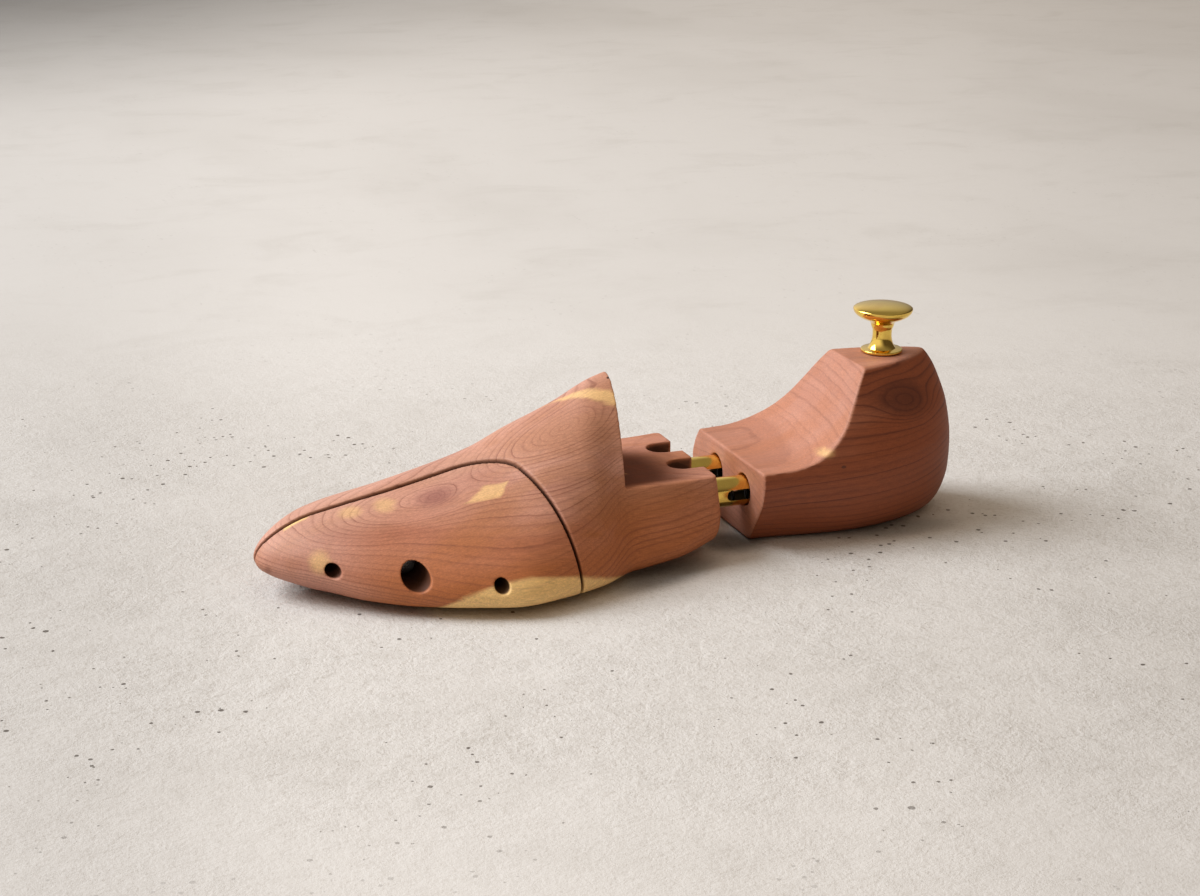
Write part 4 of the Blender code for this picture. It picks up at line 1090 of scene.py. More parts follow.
heel_levels = np.concatenate(
    [np.linspace(0, 4, 12, endpoint=False), np.linspace(4, 96, 110), np.linspace(96, 100, 12)[1:]]
)
heel = add_object("heel_wood", skin("heel_wood", [heel_level(at) for at in heel_levels]))
front = HEEL_FACE_X - CUT_NEAR
face_outline = [(front, -CUT_NEAR), (HEEL_FACE_X, -CUT_NEAR), (HEEL_FACE_X, CUT_FAR), (front, CUT_FAR)]
cut(heel, prism("cut_heel_face", face_outline, "Y", -CUT_FAR, CUT_FAR), scoop_cutter())
heel_surface = whole_surface(heel)
cut(heel, *heel_bores())
ease_edges(heel, HEEL_NET, HEEL_EDGE_ROUND, bottom=(HEEL_BOTTOM_ROUND, HEEL_BOTTOM_PASSES))
mark_cut_depth(heel, heel_surface)
# Stores how far the heel block faces the window, for its painted light and shade.
mark_window_facing(heel, WINDOW_DIRECTION)

# %% [markdown]
# ## Turned pieces from one Geometry Nodes tree
#
# Pins, discs, washers, tubes and the knob are all turned on a lathe: one outline, swept round an axis.
# Spinning each in mesh code works, but a small node tree shows the idea best. It wraps a grid round the
# axis: a grid column is an angle, a grid row is a point of the outline, read by its index. Merging the
# points that fall together closes the seam and the poles.

# %% Build the lathe tree
MERGE_DISTANCE = 0.002 * MM


def new_tree(name, inputs):
    """An empty Geometry Nodes tree with named inputs: gives the tree, its bench, and the sockets."""
    tree = bpy.data.node_groups.new(name, "GeometryNodeTree")
    tree.interface.new_socket("Geometry", in_out="INPUT", socket_type="NodeSocketGeometry")
    for label, kind in inputs:
        tree.interface.new_socket(label, in_out="INPUT", socket_type=kind)
    tree.interface.new_socket("Geometry", in_out="OUTPUT", socket_type="NodeSocketGeometry")
    bench = NodeBench(tree)
    given = bench.add("NodeGroupInput")
    return tree, bench, given.outputs, bench.add("NodeGroupOutput").inputs[0]


def finish_tree(bench, geometry, given, result):
    """Turns and places the shape, makes its instances real and gives it its finish."""
    move = bench.add("GeometryNodeTransform")
    bench.fill(move, Geometry=geometry, Rotation=given["Axis Turn"], Translation=given["Place"])
    real = bench.fill(bench.add("GeometryNodeRealizeInstances"), Geometry=move.outputs[0])
    finish = bench.add("GeometryNodeSetMaterial")
    bench.fill(finish, Geometry=real.outputs[0], Material=given["Finish"])
    bench.feed(result, finish.outputs[0])


def round_the_axis(bench, radius, angle, height):
    """The point at a radius and an angle round the Z axis."""
    x = bench.times(radius, bench.math("COSINE", angle))
    y = bench.times(radius, bench.math("SINE", angle))
    return bench.join(x, y, height)


def build_lathe():
    tree, bench, given, result = new_tree("lathe", [
        ("Sides", "NodeSocketInt"), ("Axis Turn", "NodeSocketVector"), ("Place", "NodeSocketVector"),
        ("Finish", "NodeSocketMaterial"),
    ])
    size = bench.add("GeometryNodeAttributeDomainSize", component="MESH")
    rows = bench.fill(size, Geometry=given["Geometry"]).outputs["Point Count"]
    grid = bench.add("GeometryNodeMeshGrid")
    bench.fill(grid, Vertices_X=bench.plus(given["Sides"], 1.0), Vertices_Y=rows)
    position = bench.add("GeometryNodeInputPosition").outputs[0]
    column, row, _ = bench.split(position)
    angle = bench.times(bench.plus(column, 0.5), 2.0 * math.pi)
    index = bench.math("ROUND", bench.times(bench.plus(row, 0.5), bench.minus(rows, 1.0)))
    outline = bench.add("GeometryNodeSampleIndex", data_type="FLOAT_VECTOR", domain="POINT")
    bench.fill(outline, Geometry=given["Geometry"], Value=position, Index=index)
    radius, _, height = bench.split(outline.outputs[0])
    wrap = bench.add("GeometryNodeSetPosition")
    bench.fill(wrap, Geometry=grid.outputs["Mesh"], Position=round_the_axis(bench, radius, angle, height))
    merge = bench.add("GeometryNodeMergeByDistance")
    bench.fill(merge, Geometry=wrap.outputs[0], Distance=MERGE_DISTANCE)
    finish_tree(bench, merge.outputs[0], given, result)
    return tree


LATHE = build_lathe()
print("lathe tree has", len(LATHE.nodes), "nodes")

# %% [markdown]
# A modifier's inputs are reached by the identifier of each socket, so a small function looks them up by
# name. The result is made a plain mesh at once: an export drops live node trees, and a plain mesh keeps
# its shape. Normals are turned outwards, and only edges sharper than a limit stay sharp.

# %% Run a tree and keep a plain mesh
def run_tree(name, mesh, tree, values, sharp_angle=30.0):
    piece = add_object(name, mesh)
    modifier = piece.modifiers.new(tree.name, "NODES")
    modifier.node_group = tree
    for item in tree.interface.items_tree:
        if item.in_out == "INPUT" and item.name in values:
            modifier[item.identifier] = values[item.name]
    settle(piece)
    point_out(piece.data)
    piece.data.shade_smooth()
    piece.data.set_sharp_from_angle(angle=math.radians(sharp_angle))
    return piece


def outline_mesh(name, outline):
    """The points of an outline, given as (radius, height), in the XZ plane."""
    mesh = bpy.data.meshes.new(name)
    mesh.from_pydata([(radius, 0.0, height) for radius, height in outline], [], [])
    return mesh


def turn(name, outline, axis, place, finish, sides=64, sharp_angle=30.0):
    axis_turn = tuple(AXIS_TURNS[axis].to_euler())
    values = {"Sides": sides, "Axis Turn": axis_turn, "Place": tuple(place), "Finish": finish}
    return run_tree(name, outline_mesh(name, outline), LATHE, values, sharp_angle)


def eased_corner(radius_centre, height_centre, size, first_angle, steps=4):
    """A quarter circle from one angle to the next, in degrees from the outward direction."""
    points = []
    for step in range(steps + 1):
        angle = math.radians(first_angle + 90.0 * step / steps)
        points.append((radius_centre + size * math.cos(angle), height_centre + size * math.sin(angle)))
    return points


def rod_outline(radius, start, end, ease):
    """A solid round bar with eased ends."""
    return (
        [(0.0, start)]
        + eased_corner(radius - ease, start + ease, ease, -90.0)
        + eased_corner(radius - ease, end - ease, ease, 0.0)
        + [(0.0, end)]
    )


def sleeve_outline(outer, inner, start, end, ease):
    """A round tube with eased rims, closed on itself."""
    points = (
        eased_corner(outer - ease, start + ease, ease, -90.0)
        + eased_corner(outer - ease, end - ease, ease, 0.0)
        + eased_corner(inner + ease, end - ease, ease, 90.0)
        + eased_corner(inner + ease, start + ease, ease, 180.0)
    )
    return points + points[:1]


print("outline of a 4 mm pin has", len(rod_outline(2 * MM, 0.0, 9 * MM, 0.3 * MM)), "points")

# %% [markdown]
# ## Polished brass
#
# The knob and the tubes are lacquered brass. Brass is a metal, so its colour is the colour of its
# reflection. A perfect mirror would look like a drawing; real brass has faint marks from the polishing
# wheel, or along the tube from drawing it, and a slight warm uneven tint, so noise on the object's own
# coordinates moves the roughness and the tint a little. The bore of a tube is never polished, so it is
# rougher, and its colour is painted nearly black as painted shade, which is what makes the slot read as
# a dark line.

# %% Make the brass finishes
BRASS_YELLOW = (0.900, 0.630, 0.130)
BRASS_WARM = (0.830, 0.540, 0.120)
# Painted shade for the bore, and how much of it is laid on.
BORE_PAINTED_SHADE = (0.060, 0.042, 0.022)
BORE_SHADE_SHARE = 0.93
BORE_DULLNESS = 0.35


def make_brass(name, mark_stretch, roughness_low, roughness_high, bump_depth, dark_bore=False):
    material, bench, shader = new_material(name)
    place = place_in_mm(bench)
    tint = bench.noise(place, 0.09, 3.0, 0.6, 0.5)
    marks = bench.noise(bench.stretch(place, mark_stretch), 1.0, 4.0, 0.65)
    smudge = bench.noise(place, 0.35, 4.0, 0.6, 0.6)
    colour = bench.mix(bench.spread(tint, 0.35, 0.7), BRASS_YELLOW, BRASS_WARM)
    rough = bench.plus(bench.times(marks, 0.5), bench.times(smudge, 0.5))
    rough = bench.spread(rough, 0.3, 0.7, roughness_low, roughness_high)
    if dark_bore:
        inside = inside_tube(bench, place)
        # Painted shade: the bore and whatever lies inside the tube turn nearly black.
        colour = bench.mix(bench.times(inside, BORE_SHADE_SHARE), colour, BORE_PAINTED_SHADE)
        rough = bench.times_plus(inside, BORE_DULLNESS, rough)
    bench.fill(shader, Base_Color=colour, Metallic=1.0, Roughness=rough)
    bench.bump(shader, marks, bump_depth, 0.25)
    return material


def inside_tube(bench, place):
    """1 on whatever lies inside the outer skin of a tube, 0 on the skin itself."""
    _, y, z = bench.split(place)
    across = bench.minus(bench.math("ABSOLUTE", y), TUBE_SPACING / 2.0 / MM)
    up = bench.minus(z, TUBE_HEIGHT / MM)
    radius = bench.math("SQRT", bench.plus(bench.times(across, across), bench.times(up, up)))
    skin_radius = TUBE_DIAMETER / 2.0 / MM
    return bench.spread(radius, skin_radius - 0.35, skin_radius - 0.15, 1.0, 0.0)


KNOB_BRASS = make_brass("knob_brass", (0.5, 0.5, 3.0), 0.05, 0.13, 0.02 * MM)
TUBE_BRASS = make_brass("tube_brass", (0.12, 4.0, 4.0), 0.10, 0.22, 0.03 * MM, dark_bore=True)
print("brass finishes:", KNOB_BRASS.name, TUBE_BRASS.name)

# %% [markdown]
# ## Steel
#
# The hidden pins and the screw are bright zinc-plated steel with a fine crystalline grain. The springs
# are drawn wire with a trace of oil, painted nearly black as painted shade so the coils stay dark in the
# tubes.

# %% Make the steel finishes
ZINC_LIGHT = (0.36, 0.36, 0.37)
ZINC_DARK = (0.22, 0.22, 0.23)
# The spring wire is painted nearly black: oiled wire, and painted shade inside the tubes.
WIRE_SHADE_GREY = (0.036, 0.034, 0.032)
WIRE_SHADE_BROWN = (0.022, 0.019, 0.016)


def make_steel(name, light, dark, grain_scale, roughness_low, roughness_high):
    material, bench, shader = new_material(name)
    place = place_in_mm(bench)
    crystals = bench.noise(place, grain_scale, 3.0, 0.7)
    film = bench.noise(place, 0.25, 3.0, 0.55)
    colour = bench.mix(bench.spread(crystals, 0.35, 0.7), light, dark)
    rough = bench.spread(film, 0.3, 0.7, roughness_low, roughness_high)
    bench.fill(shader, Base_Color=colour, Metallic=1.0, Roughness=rough)
    bench.bump(shader, crystals, 0.02 * MM, 0.3)
    return material


ZINC_STEEL = make_steel("zinc_plated_steel", ZINC_LIGHT, ZINC_DARK, 1.6, 0.25, 0.42)
SPRING_WIRE = make_steel("drawn_spring_wire", WIRE_SHADE_GREY, WIRE_SHADE_BROWN, 0.9, 0.50, 0.65)
print("steel finishes:", ZINC_STEEL.name, SPRING_WIRE.name)

# %% [markdown]
# ## The knob
#
# The knob is what pulls the tree out of the shoe: a low domed cap with a rounded rim, a belly that
# narrows to a bead and a waist, and a flared stem on a thin round foot. Its outline is written from the
# top of the dome downwards, each stretch as an arc or a smooth line, and the lathe does the rest.

# %% Turn the knob
KNOB_CAP_DIAMETER = 23.0 * MM
KNOB_DOME_RISE = 2.0 * MM
KNOB_BELLY_DROP = 4.2 * MM
KNOB_BELLY_SHARE = 0.56
KNOB_BEAD_DIAMETER = 8.8 * MM
KNOB_BEAD_DROP = 2.4 * MM
KNOB_NECK_DIAMETER = 7.4 * MM
KNOB_NECK_DROP = 5.6 * MM
KNOB_FLARE_DIAMETER = 10.8 * MM
KNOB_FOOT_DIAMETER = 16.2 * MM
KNOB_FOOT_THICKNESS = 1.3 * MM
KNOB_FOOT_EDGE = 0.3 * MM
KNOB_RIM_HEIGHT = 17.2 * MM
KNOB_SIDES = 128


def knob_outline():
    cap = KNOB_CAP_DIAMETER / 2.0
    bead = KNOB_BEAD_DIAMETER / 2.0
    neck = KNOB_NECK_DIAMETER / 2.0
    flare = KNOB_FLARE_DIAMETER / 2.0
    foot = KNOB_FOOT_DIAMETER / 2.0
    rim = HEEL_HEIGHT + KNOB_RIM_HEIGHT
    bottom = HEEL_HEIGHT + SEAT_GAP
    points = []
    for angle in np.linspace(0.0, np.pi / 2.0, 28):
        points.append((cap * math.sin(angle), rim + KNOB_DOME_RISE * math.cos(angle)))
    belly_end = math.acos(KNOB_BELLY_SHARE)
    for angle in np.linspace(0.0, belly_end, 20)[1:]:
        points.append((cap * math.cos(angle), rim - KNOB_BELLY_DROP * math.sin(angle) / math.sin(belly_end)))
    under = rim - KNOB_BELLY_DROP
    waist = [
        (0.0, cap * KNOB_BELLY_SHARE), (0.3 * KNOB_BEAD_DROP, bead * 1.22),
        (0.62 * KNOB_BEAD_DROP, bead * 1.05), (KNOB_BEAD_DROP, bead), (0.57 * KNOB_NECK_DROP, bead * 0.93),
        (0.75 * KNOB_NECK_DROP, neck * 1.02), (KNOB_NECK_DROP, neck),
    ]
    for drop in np.linspace(0.0, KNOB_NECK_DROP, 24)[1:]:
        points.append((smooth_value(waist, drop), under - drop))
    collar = bottom + KNOB_FOOT_THICKNESS
    start = under - KNOB_NECK_DROP
    for share in np.linspace(0.0, 1.0, 18)[1:]:
        points.append((neck + (flare - neck) * share**2.4, start - (start - collar) * share))
    points += eased_corner(foot - KNOB_FOOT_EDGE, collar - 2.0 * KNOB_FOOT_EDGE, KNOB_FOOT_EDGE, 0.0)[::-1]
    points += eased_corner(foot - KNOB_FOOT_EDGE, bottom + KNOB_FOOT_EDGE, KNOB_FOOT_EDGE, -90.0)[::-1]
    hole = STUD_DIAMETER / 2.0 + SEAT_GAP
    hole_top = HEEL_HEIGHT + STUD_IN_KNOB + SEAT_GAP
    return points + [(hole, bottom), (hole, hole_top), (0.0, hole_top)]


knob = turn("knob", knob_outline(), "Z", (0.0, 0.0, 0.0), KNOB_BRASS, KNOB_SIDES, 35.0)
print("knob has", len(knob.data.polygons), "faces")

# %% [markdown]
# ## The tubes
#
# Each tube is fixed in the forepart and slides in the heel block. A slot on both sides lets the heel's
# cross pin run along it and stops the heel block from coming off. The tube comes off the lathe as a
# sleeve; the slot is milled through with a Boolean, and a fine bevel takes the burr off its edges.

# %% Turn and slot the tubes
SLOT_WIDTH = 4.2 * MM
SLOT_FRONT_X = HEEL_FACE_X - 8.8 * MM
SLOT_REAR_X = STOP_PIN_X + STOP_PIN_DIAMETER / 2.0 + SEAT_GAP
BURR = 0.14 * MM
TUBE_SIDES = 96


def slot_outline():
    radius = SLOT_WIDTH / 2.0
    outline = []
    for centre, first in ((SLOT_FRONT_X + radius, 0.5 * np.pi), (SLOT_REAR_X - radius, -0.5 * np.pi)):
        for angle in np.linspace(first, first + np.pi, 25):
            outline.append((centre + radius * math.cos(angle), TUBE_HEIGHT + radius * math.sin(angle)))
    return outline


def make_tube(side_name, side):
    place = tube_place(side)
    outer = TUBE_DIAMETER / 2.0
    outline = sleeve_outline(outer, outer - TUBE_WALL, TUBE_FRONT_X, TUBE_REAR_X, 0.25 * MM)
    tube = turn(f"brass_tube_{side_name}", outline, "X", place, TUBE_BRASS, TUBE_SIDES)
    reach = outer + CUT_OVERLAP
    slot = prism("cut_slot", slot_outline(), "Y", place[1] - reach, place[1] + reach)
    pin_hole = bar("cut_pin", ANCHOR_PIN_DIAMETER / 2.0 + SEAT_GAP, "Z", (ANCHOR_PIN_X, place[1], 0.0), 0.0,
                   TUBE_HEIGHT + reach)
    cut(tube, slot, pin_hole)
    burr = tube.modifiers.new("burr", "BEVEL")
    burr.width = BURR
    burr.segments = 2
    burr.limit_method = "ANGLE"
    burr.angle_limit = math.radians(50.0)
    settle(tube)
    tube.data.materials.clear()
    tube.data.materials.append(TUBE_BRASS)
    tube.data.polygons.foreach_set("material_index", [0] * len(tube.data.polygons))
    tube.data.shade_smooth()
    tube.data.set_sharp_from_angle(angle=math.radians(32.0))
    print(tube.name, len(tube.data.polygons), "faces")
    return tube


tubes = {side_name: make_tube(side_name, side) for side_name, side in SIDES.items()}

# %% [markdown]
# ## Small turned parts
#
# Everything inside the bores is a stock part: ground pins with a small chamfer, a washer, a socket-head
# screw in a threaded insert, and discs at both ends of each tube spring. They are hardly seen, but the
# holes look right only when something bright stands at their bottom, and the slots show the discs.

# %% Turn the pins, discs, washer, insert and screw
PIN_EASE = 0.4 * MM
WASHER_DIAMETER = 8.6 * MM
WASHER_THICKNESS = 0.8 * MM
SCREW_HEAD_DIAMETER = 8.2 * MM
SCREW_HEAD_HEIGHT = 2.8 * MM
SCREW_HEAD_EASE = 0.5 * MM
SCREW_END_Y = 14.0 * MM
SCREW_SOCKET_WIDTH = 3.0 * MM
SCREW_SOCKET_DEPTH = 1.6 * MM
SEAT_DISC_LENGTH = 4.0 * MM
DISC_RADIUS = TUBE_DIAMETER / 2.0 - TUBE_WALL - PIN_SLIDE_GAP
SEAT_START_X = ANCHOR_PIN_X + ANCHOR_PIN_DIAMETER / 2.0 + SEAT_GAP
FOLLOWER_END_X = STOP_PIN_X - STOP_PIN_DIAMETER / 2.0 - SEAT_GAP


def make_toe_hardware():
    pieces = {}
    start = GUIDE_PIN_END_Y - GUIDE_PIN_LENGTH
    outline = rod_outline(GUIDE_PIN_DIAMETER / 2.0, start, GUIDE_PIN_END_Y, PIN_EASE)
    for end_name, place in GUIDE_PLACES.items():
        pieces[f"toe_guide_pin_{end_name}"] = turn(f"guide_pin_{end_name}", outline, "Y", place, ZINC_STEEL)
    washer_start = WEB_OUTER_Y - SEAT_GAP - WASHER_THICKNESS
    hole = SCREW_SHANK_DIAMETER / 2.0 + SEAT_GAP
    outline = sleeve_outline(WASHER_DIAMETER / 2.0, hole, washer_start, WEB_OUTER_Y - SEAT_GAP, 0.12 * MM)
    pieces["toe_screw_washer"] = turn("screw_washer", outline, "Y", SCREW_PLACE, ZINC_STEEL)
    head_end = washer_start - SEAT_GAP
    head_start = head_end - SCREW_HEAD_HEIGHT
    head = SCREW_HEAD_DIAMETER / 2.0
    shank = SCREW_SHANK_DIAMETER / 2.0
    outline = [(0.0, head_start)]
    outline += eased_corner(head - SCREW_HEAD_EASE, head_start + SCREW_HEAD_EASE, SCREW_HEAD_EASE, -90.0)
    outline += [(head, head_end), (shank, head_end)]
    outline += eased_corner(shank - PIN_EASE, SCREW_END_Y - PIN_EASE, PIN_EASE, 0.0) + [(0.0, SCREW_END_Y)]
    screw = turn("stop_screw", outline, "Y", SCREW_PLACE, ZINC_STEEL)
    socket_radius = SCREW_SOCKET_WIDTH / math.sqrt(3.0)
    cut(screw, bar("cut_socket", socket_radius, "Y", SCREW_PLACE, head_start - CUT_OVERLAP,
                   head_start + SCREW_SOCKET_DEPTH, 6))
    screw.data.shade_smooth()
    screw.data.set_sharp_from_angle(angle=math.radians(30.0))
    pieces["toe_stop_screw"] = screw
    insert_start = SPRING_POCKET_END_Y + SEAT_GAP
    insert_end = insert_start + INSERT_LENGTH
    outline = sleeve_outline(INSERT_DIAMETER / 2.0, hole, insert_start, insert_end, 0.3 * MM)
    pieces["toe_screw_insert"] = turn("screw_insert", outline, "Y", SCREW_PLACE, TUBE_BRASS)
    return pieces


def make_tube_parts():
    pieces = {}
    pin_outline = rod_outline(ANCHOR_PIN_DIAMETER / 2.0, ANCHOR_PIN_RECESS, ANCHOR_PIN_TOP, PIN_EASE)
    seat_outline = rod_outline(DISC_RADIUS, SEAT_START_X, SEAT_START_X + SEAT_DISC_LENGTH, PIN_EASE)
    follower_outline = rod_outline(DISC_RADIUS, FOLLOWER_END_X - SEAT_DISC_LENGTH, FOLLOWER_END_X, PIN_EASE)
    for side_name, side in SIDES.items():
        place = tube_place(side)
        for node, name, outline, axis, spot, finish in (
            ("tube_anchor_pin", "anchor_pin", pin_outline, "Z", (ANCHOR_PIN_X, place[1], 0.0), ZINC_STEEL),
            ("spring_seat", "seat_disc", seat_outline, "X", place, TUBE_BRASS),
            ("spring_follower", "follower_disc", follower_outline, "X", place, TUBE_BRASS),
        ):
            pieces[f"{node}_{side_name}"] = turn(f"{name}_{side_name}", outline, axis, spot, finish)
    return pieces


toe_hardware = make_toe_hardware()
tube_parts = make_tube_parts()
pin_place = (STOP_PIN_X, 0.0, TUBE_HEIGHT)
pin_radius = STOP_PIN_DIAMETER / 2.0
pin_outline = rod_outline(pin_radius, -STOP_PIN_REACH, STOP_PIN_REACH, PIN_EASE)
stop_pin = turn("stop_pin", pin_outline, "Y", pin_place, ZINC_STEEL)
stud_ends = (HEEL_HEIGHT - STUD_IN_HEEL, HEEL_HEIGHT + STUD_IN_KNOB)
stud_outline = rod_outline(STUD_DIAMETER / 2.0, *stud_ends, PIN_EASE)
stud = turn("knob_stud_steel", stud_outline, "Z", (0.0, 0.0, 0.0), ZINC_STEEL)
print("small parts:", len(toe_hardware) + len(tube_parts) + 2)

# %% [markdown]
# ## Springs from a second tree
#
# A spring is a path with a rule: it climbs by one pitch in each turn, and lies nearly flat in its first
# and last turn so that the ends press evenly. The tree makes a straight mesh line, moves each point to
# its place on that path from its index alone, and sweeps a small circle along it.

# %% Build the spring tree
COIL_POINTS = 40
WIRE_SIDES = 12
COIL_LEAST_GAP = 0.45 * MM


def build_winder():
    tree, bench, given, result = new_tree("winder", [
        ("Wire", "NodeSocketFloat"), ("Diameter", "NodeSocketFloat"), ("Turns", "NodeSocketInt"),
        ("Start", "NodeSocketFloat"), ("End", "NodeSocketFloat"), ("Axis Turn", "NodeSocketVector"),
        ("Place", "NodeSocketVector"), ("Finish", "NodeSocketMaterial"),
    ])
    line = bench.add("GeometryNodeMeshLine")
    bench.fill(line, Count=bench.times_plus(given["Turns"], COIL_POINTS, 1.0))
    wound = bench.math("DIVIDE", bench.add("GeometryNodeInputIndex").outputs[0], COIL_POINTS)
    closed_pitch = bench.plus(given["Wire"], COIL_LEAST_GAP)
    ends = bench.times_plus(closed_pitch, 2.0, given["Wire"])
    run = bench.minus(bench.minus(given["End"], given["Start"]), ends)
    open_turns = bench.minus(given["Turns"], 2.0)
    first = bench.math("MINIMUM", wound, 1.0)
    last = bench.most(bench.minus(wound, bench.plus(open_turns, 1.0)), 0.0)
    middle = bench.minus(bench.minus(wound, first), last)
    rise = bench.times(closed_pitch, bench.plus(first, last))
    rise = bench.plus(rise, bench.math("DIVIDE", bench.times(run, middle), open_turns))
    along = bench.plus(bench.times_plus(given["Wire"], 0.5, given["Start"]), rise)
    radius = bench.times(bench.minus(given["Diameter"], given["Wire"]), 0.5)
    angle = bench.times(wound, 2.0 * math.pi)
    wind = bench.add("GeometryNodeSetPosition")
    bench.fill(wind, Geometry=line.outputs["Mesh"], Position=round_the_axis(bench, radius, angle, along))
    path = bench.add("GeometryNodeMeshToCurve")
    bench.feed(path.inputs[0], wind.outputs[0])
    ring = bench.add("GeometryNodeCurvePrimitiveCircle")
    bench.fill(ring, Resolution=WIRE_SIDES, Radius=bench.times(given["Wire"], 0.5))
    sweep = bench.add("GeometryNodeCurveToMesh")
    bench.fill(sweep, Curve=path.outputs[0], Profile_Curve=ring.outputs["Curve"], Fill_Caps=True)
    finish_tree(bench, sweep.outputs[0], given, result)
    return tree


WINDER = build_winder()
print("spring tree has", len(WINDER.nodes), "nodes")

# %% [markdown]
# One tree winds all three springs. The short one sits in the pocket behind the toe section, the two long
# ones in the tubes, and each is as long as the room between what it presses on.

# %% Wind the three springs
SPRING_WIRE_DIAMETER = 0.9 * MM
SPRING_DIAMETER = 7.6 * MM
TOE_SPRING_TURNS = 7
TUBE_SPRING_TURNS = 12
TOE_SPRING_START_Y = WEB_INNER_Y + SEAT_GAP
TOE_SPRING_END_Y = SPRING_POCKET_END_Y - SEAT_GAP
TUBE_SPRING_START_X = SEAT_START_X + SEAT_DISC_LENGTH + SEAT_GAP
TUBE_SPRING_END_X = FOLLOWER_END_X - SEAT_DISC_LENGTH - SEAT_GAP


def wind(name, turns, start, end, axis, place):
    values = {
        "Wire": SPRING_WIRE_DIAMETER, "Diameter": SPRING_DIAMETER, "Turns": turns, "Start": start, "End": end,
        "Axis Turn": tuple(AXIS_TURNS[axis].to_euler()), "Place": tuple(place), "Finish": SPRING_WIRE,
    }
    spring = run_tree(name, bpy.data.meshes.new(name), WINDER, values, 50.0)
    print(name, len(spring.data.polygons), "faces")
    return spring


toe_spring = wind("toe_coil", TOE_SPRING_TURNS, TOE_SPRING_START_Y, TOE_SPRING_END_Y, "Y", SCREW_PLACE)
tube_spring_ends = (TUBE_SPRING_START_X, TUBE_SPRING_END_X)
tube_springs = {
    side_name: wind(f"tube_coil_{side_name}", TUBE_SPRING_TURNS, *tube_spring_ends, "X", tube_place(side))
    for side_name, side in SIDES.items()
}

# %% [markdown]
# ## Cedar: where the grain comes from
#
# Grain is not painted on wood; it is what a saw or a carving knife meets inside the log. So the finish
# asks one question at each point: how far is it from the middle of the tree? That distance, bent a little
# by slow noise, runs evenly through the block, and each 1.5 mm of it is one year. Where the block is cut
# square to the rings they show as close lines, where it is cut along them they open into wide ovals,
# and the pattern runs on over every edge and across the saw cut by itself.
#
# Beside a twig the rings bulge, and the carved surface cuts the bulge into nested ovals, as the
# photograph has them on the toe and on the instep. Two soft shapes make that. An eye first levels the
# distance round its centre, so that the run of the rings doesn't pull the ovals open, and a hill is then
# added to it, whose level lines are closed ovals.

# %% Hills and outlines in the wood
def hill(bench, place, centre, radii, turned, height, point):
    """A soft hill, a third of its height left at its radii; point 1 is a peak, 4 is a flat table."""
    distance = bench.reach(place, centre, turned, radii)
    fall = bench.math("EXPONENT", bench.times(bench.math("POWER", distance, point), -1.0))
    return bench.times(fall, height)


def patch(bench, place, centre, radii, turned=(0.0, 0.0, 0.0), core=0.55):
    """A soft-edged ellipsoid: 1 in its core, 0 outside."""
    return bench.spread(bench.reach(place, centre, turned, radii), 1.0, core)


def fenced(bench, across, up, corners, soft):
    """1 inside a convex outline, fading over a soft edge."""
    edges = list(zip(corners, corners[1:] + corners[:1]))
    side = 1.0 if sum(a[0] * b[1] - b[0] * a[1] for a, b in edges) > 0.0 else -1.0
    depth = None
    for (a0, u0), (a1, u1) in edges:
        length = math.hypot(a1 - a0, u1 - u0)
        inward = (-side * (u1 - u0) / length, side * (a1 - a0) / length)
        inside = bench.times_plus(up, inward[1], -(inward[0] * a0 + inward[1] * u0))
        inside = bench.times_plus(across, inward[0], inside)
        depth = inside if depth is None else bench.math("MINIMUM", depth, inside)
    return bench.spread(depth, -soft, soft)


def along_grain(bench, place, stretch, detail, roughness, distortion=0.0):
    """Noise drawn out along the block, with its steps per millimetre given for each axis."""
    return bench.noise(bench.stretch(place, stretch), 1.0, detail, roughness, distortion)


print("hills and outlines ready")

# %% [markdown]
# The growth lines are the fraction left over when the distance is divided by a year's growth. A year
# starts pale and soft and ends in a thin dark line. Every year differs: a random number per year sets how
# dark its line is, and noise along the distance makes wet years wide and dry ones narrow. Slow noise
# wears the lines in places, where the sandpaper went along them.

# %% Growth rings
RING_PROFILE = [(0.0, 0.55), (0.08, 0.08), (0.40, 0.0), (0.78, 0.30), (0.92, 1.0), (1.0, 0.80)]
YEAR_UNEVENNESS = 0.9
FAINTEST_YEAR = 0.38
WORN_LINE = 0.60
WEAR_STRETCH = (0.03, 0.14, 0.14)
EYE_FLATNESS = 4.0


def growth_there(log, spot):
    """The same distance as a number, for one spot of the log."""
    x, y, z = (at - pith for at, pith in zip(spot, log["pith"]))
    lean = log["lean"] + log["bend"] * (spot[2] - log["bend_from"])
    return math.hypot(y, z - lean * x)


def growth_distance(bench, place, log, eyes, hills):
    """Distance from the middle of the tree, in mm, levelled at the eyes, with hills and waver."""
    x, y, z = bench.split(place)
    pith_x, pith_y, pith_z = log["pith"]
    lean = bench.times_plus(bench.minus(z, log["bend_from"]), log["bend"], log["lean"])
    up = bench.minus(bench.minus(z, pith_z), bench.times(bench.minus(x, pith_x), lean))
    across = bench.minus(y, pith_y)
    growth = bench.math("SQRT", bench.plus(bench.times(across, across), bench.times(up, up)))
    for centre, radii, turned in eyes:
        level = hill(bench, place, centre, radii, turned, 1.0, EYE_FLATNESS)
        growth = bench.mix_value(level, growth, growth_there(log, centre))
    for bulge in hills:
        growth = bench.plus(growth, hill(bench, place, *bulge))
    for stretch, height in log["waver"]:
        growth = bench.times_plus(along_grain(bench, place, stretch, 2.0, 0.5), height, growth)
    return growth


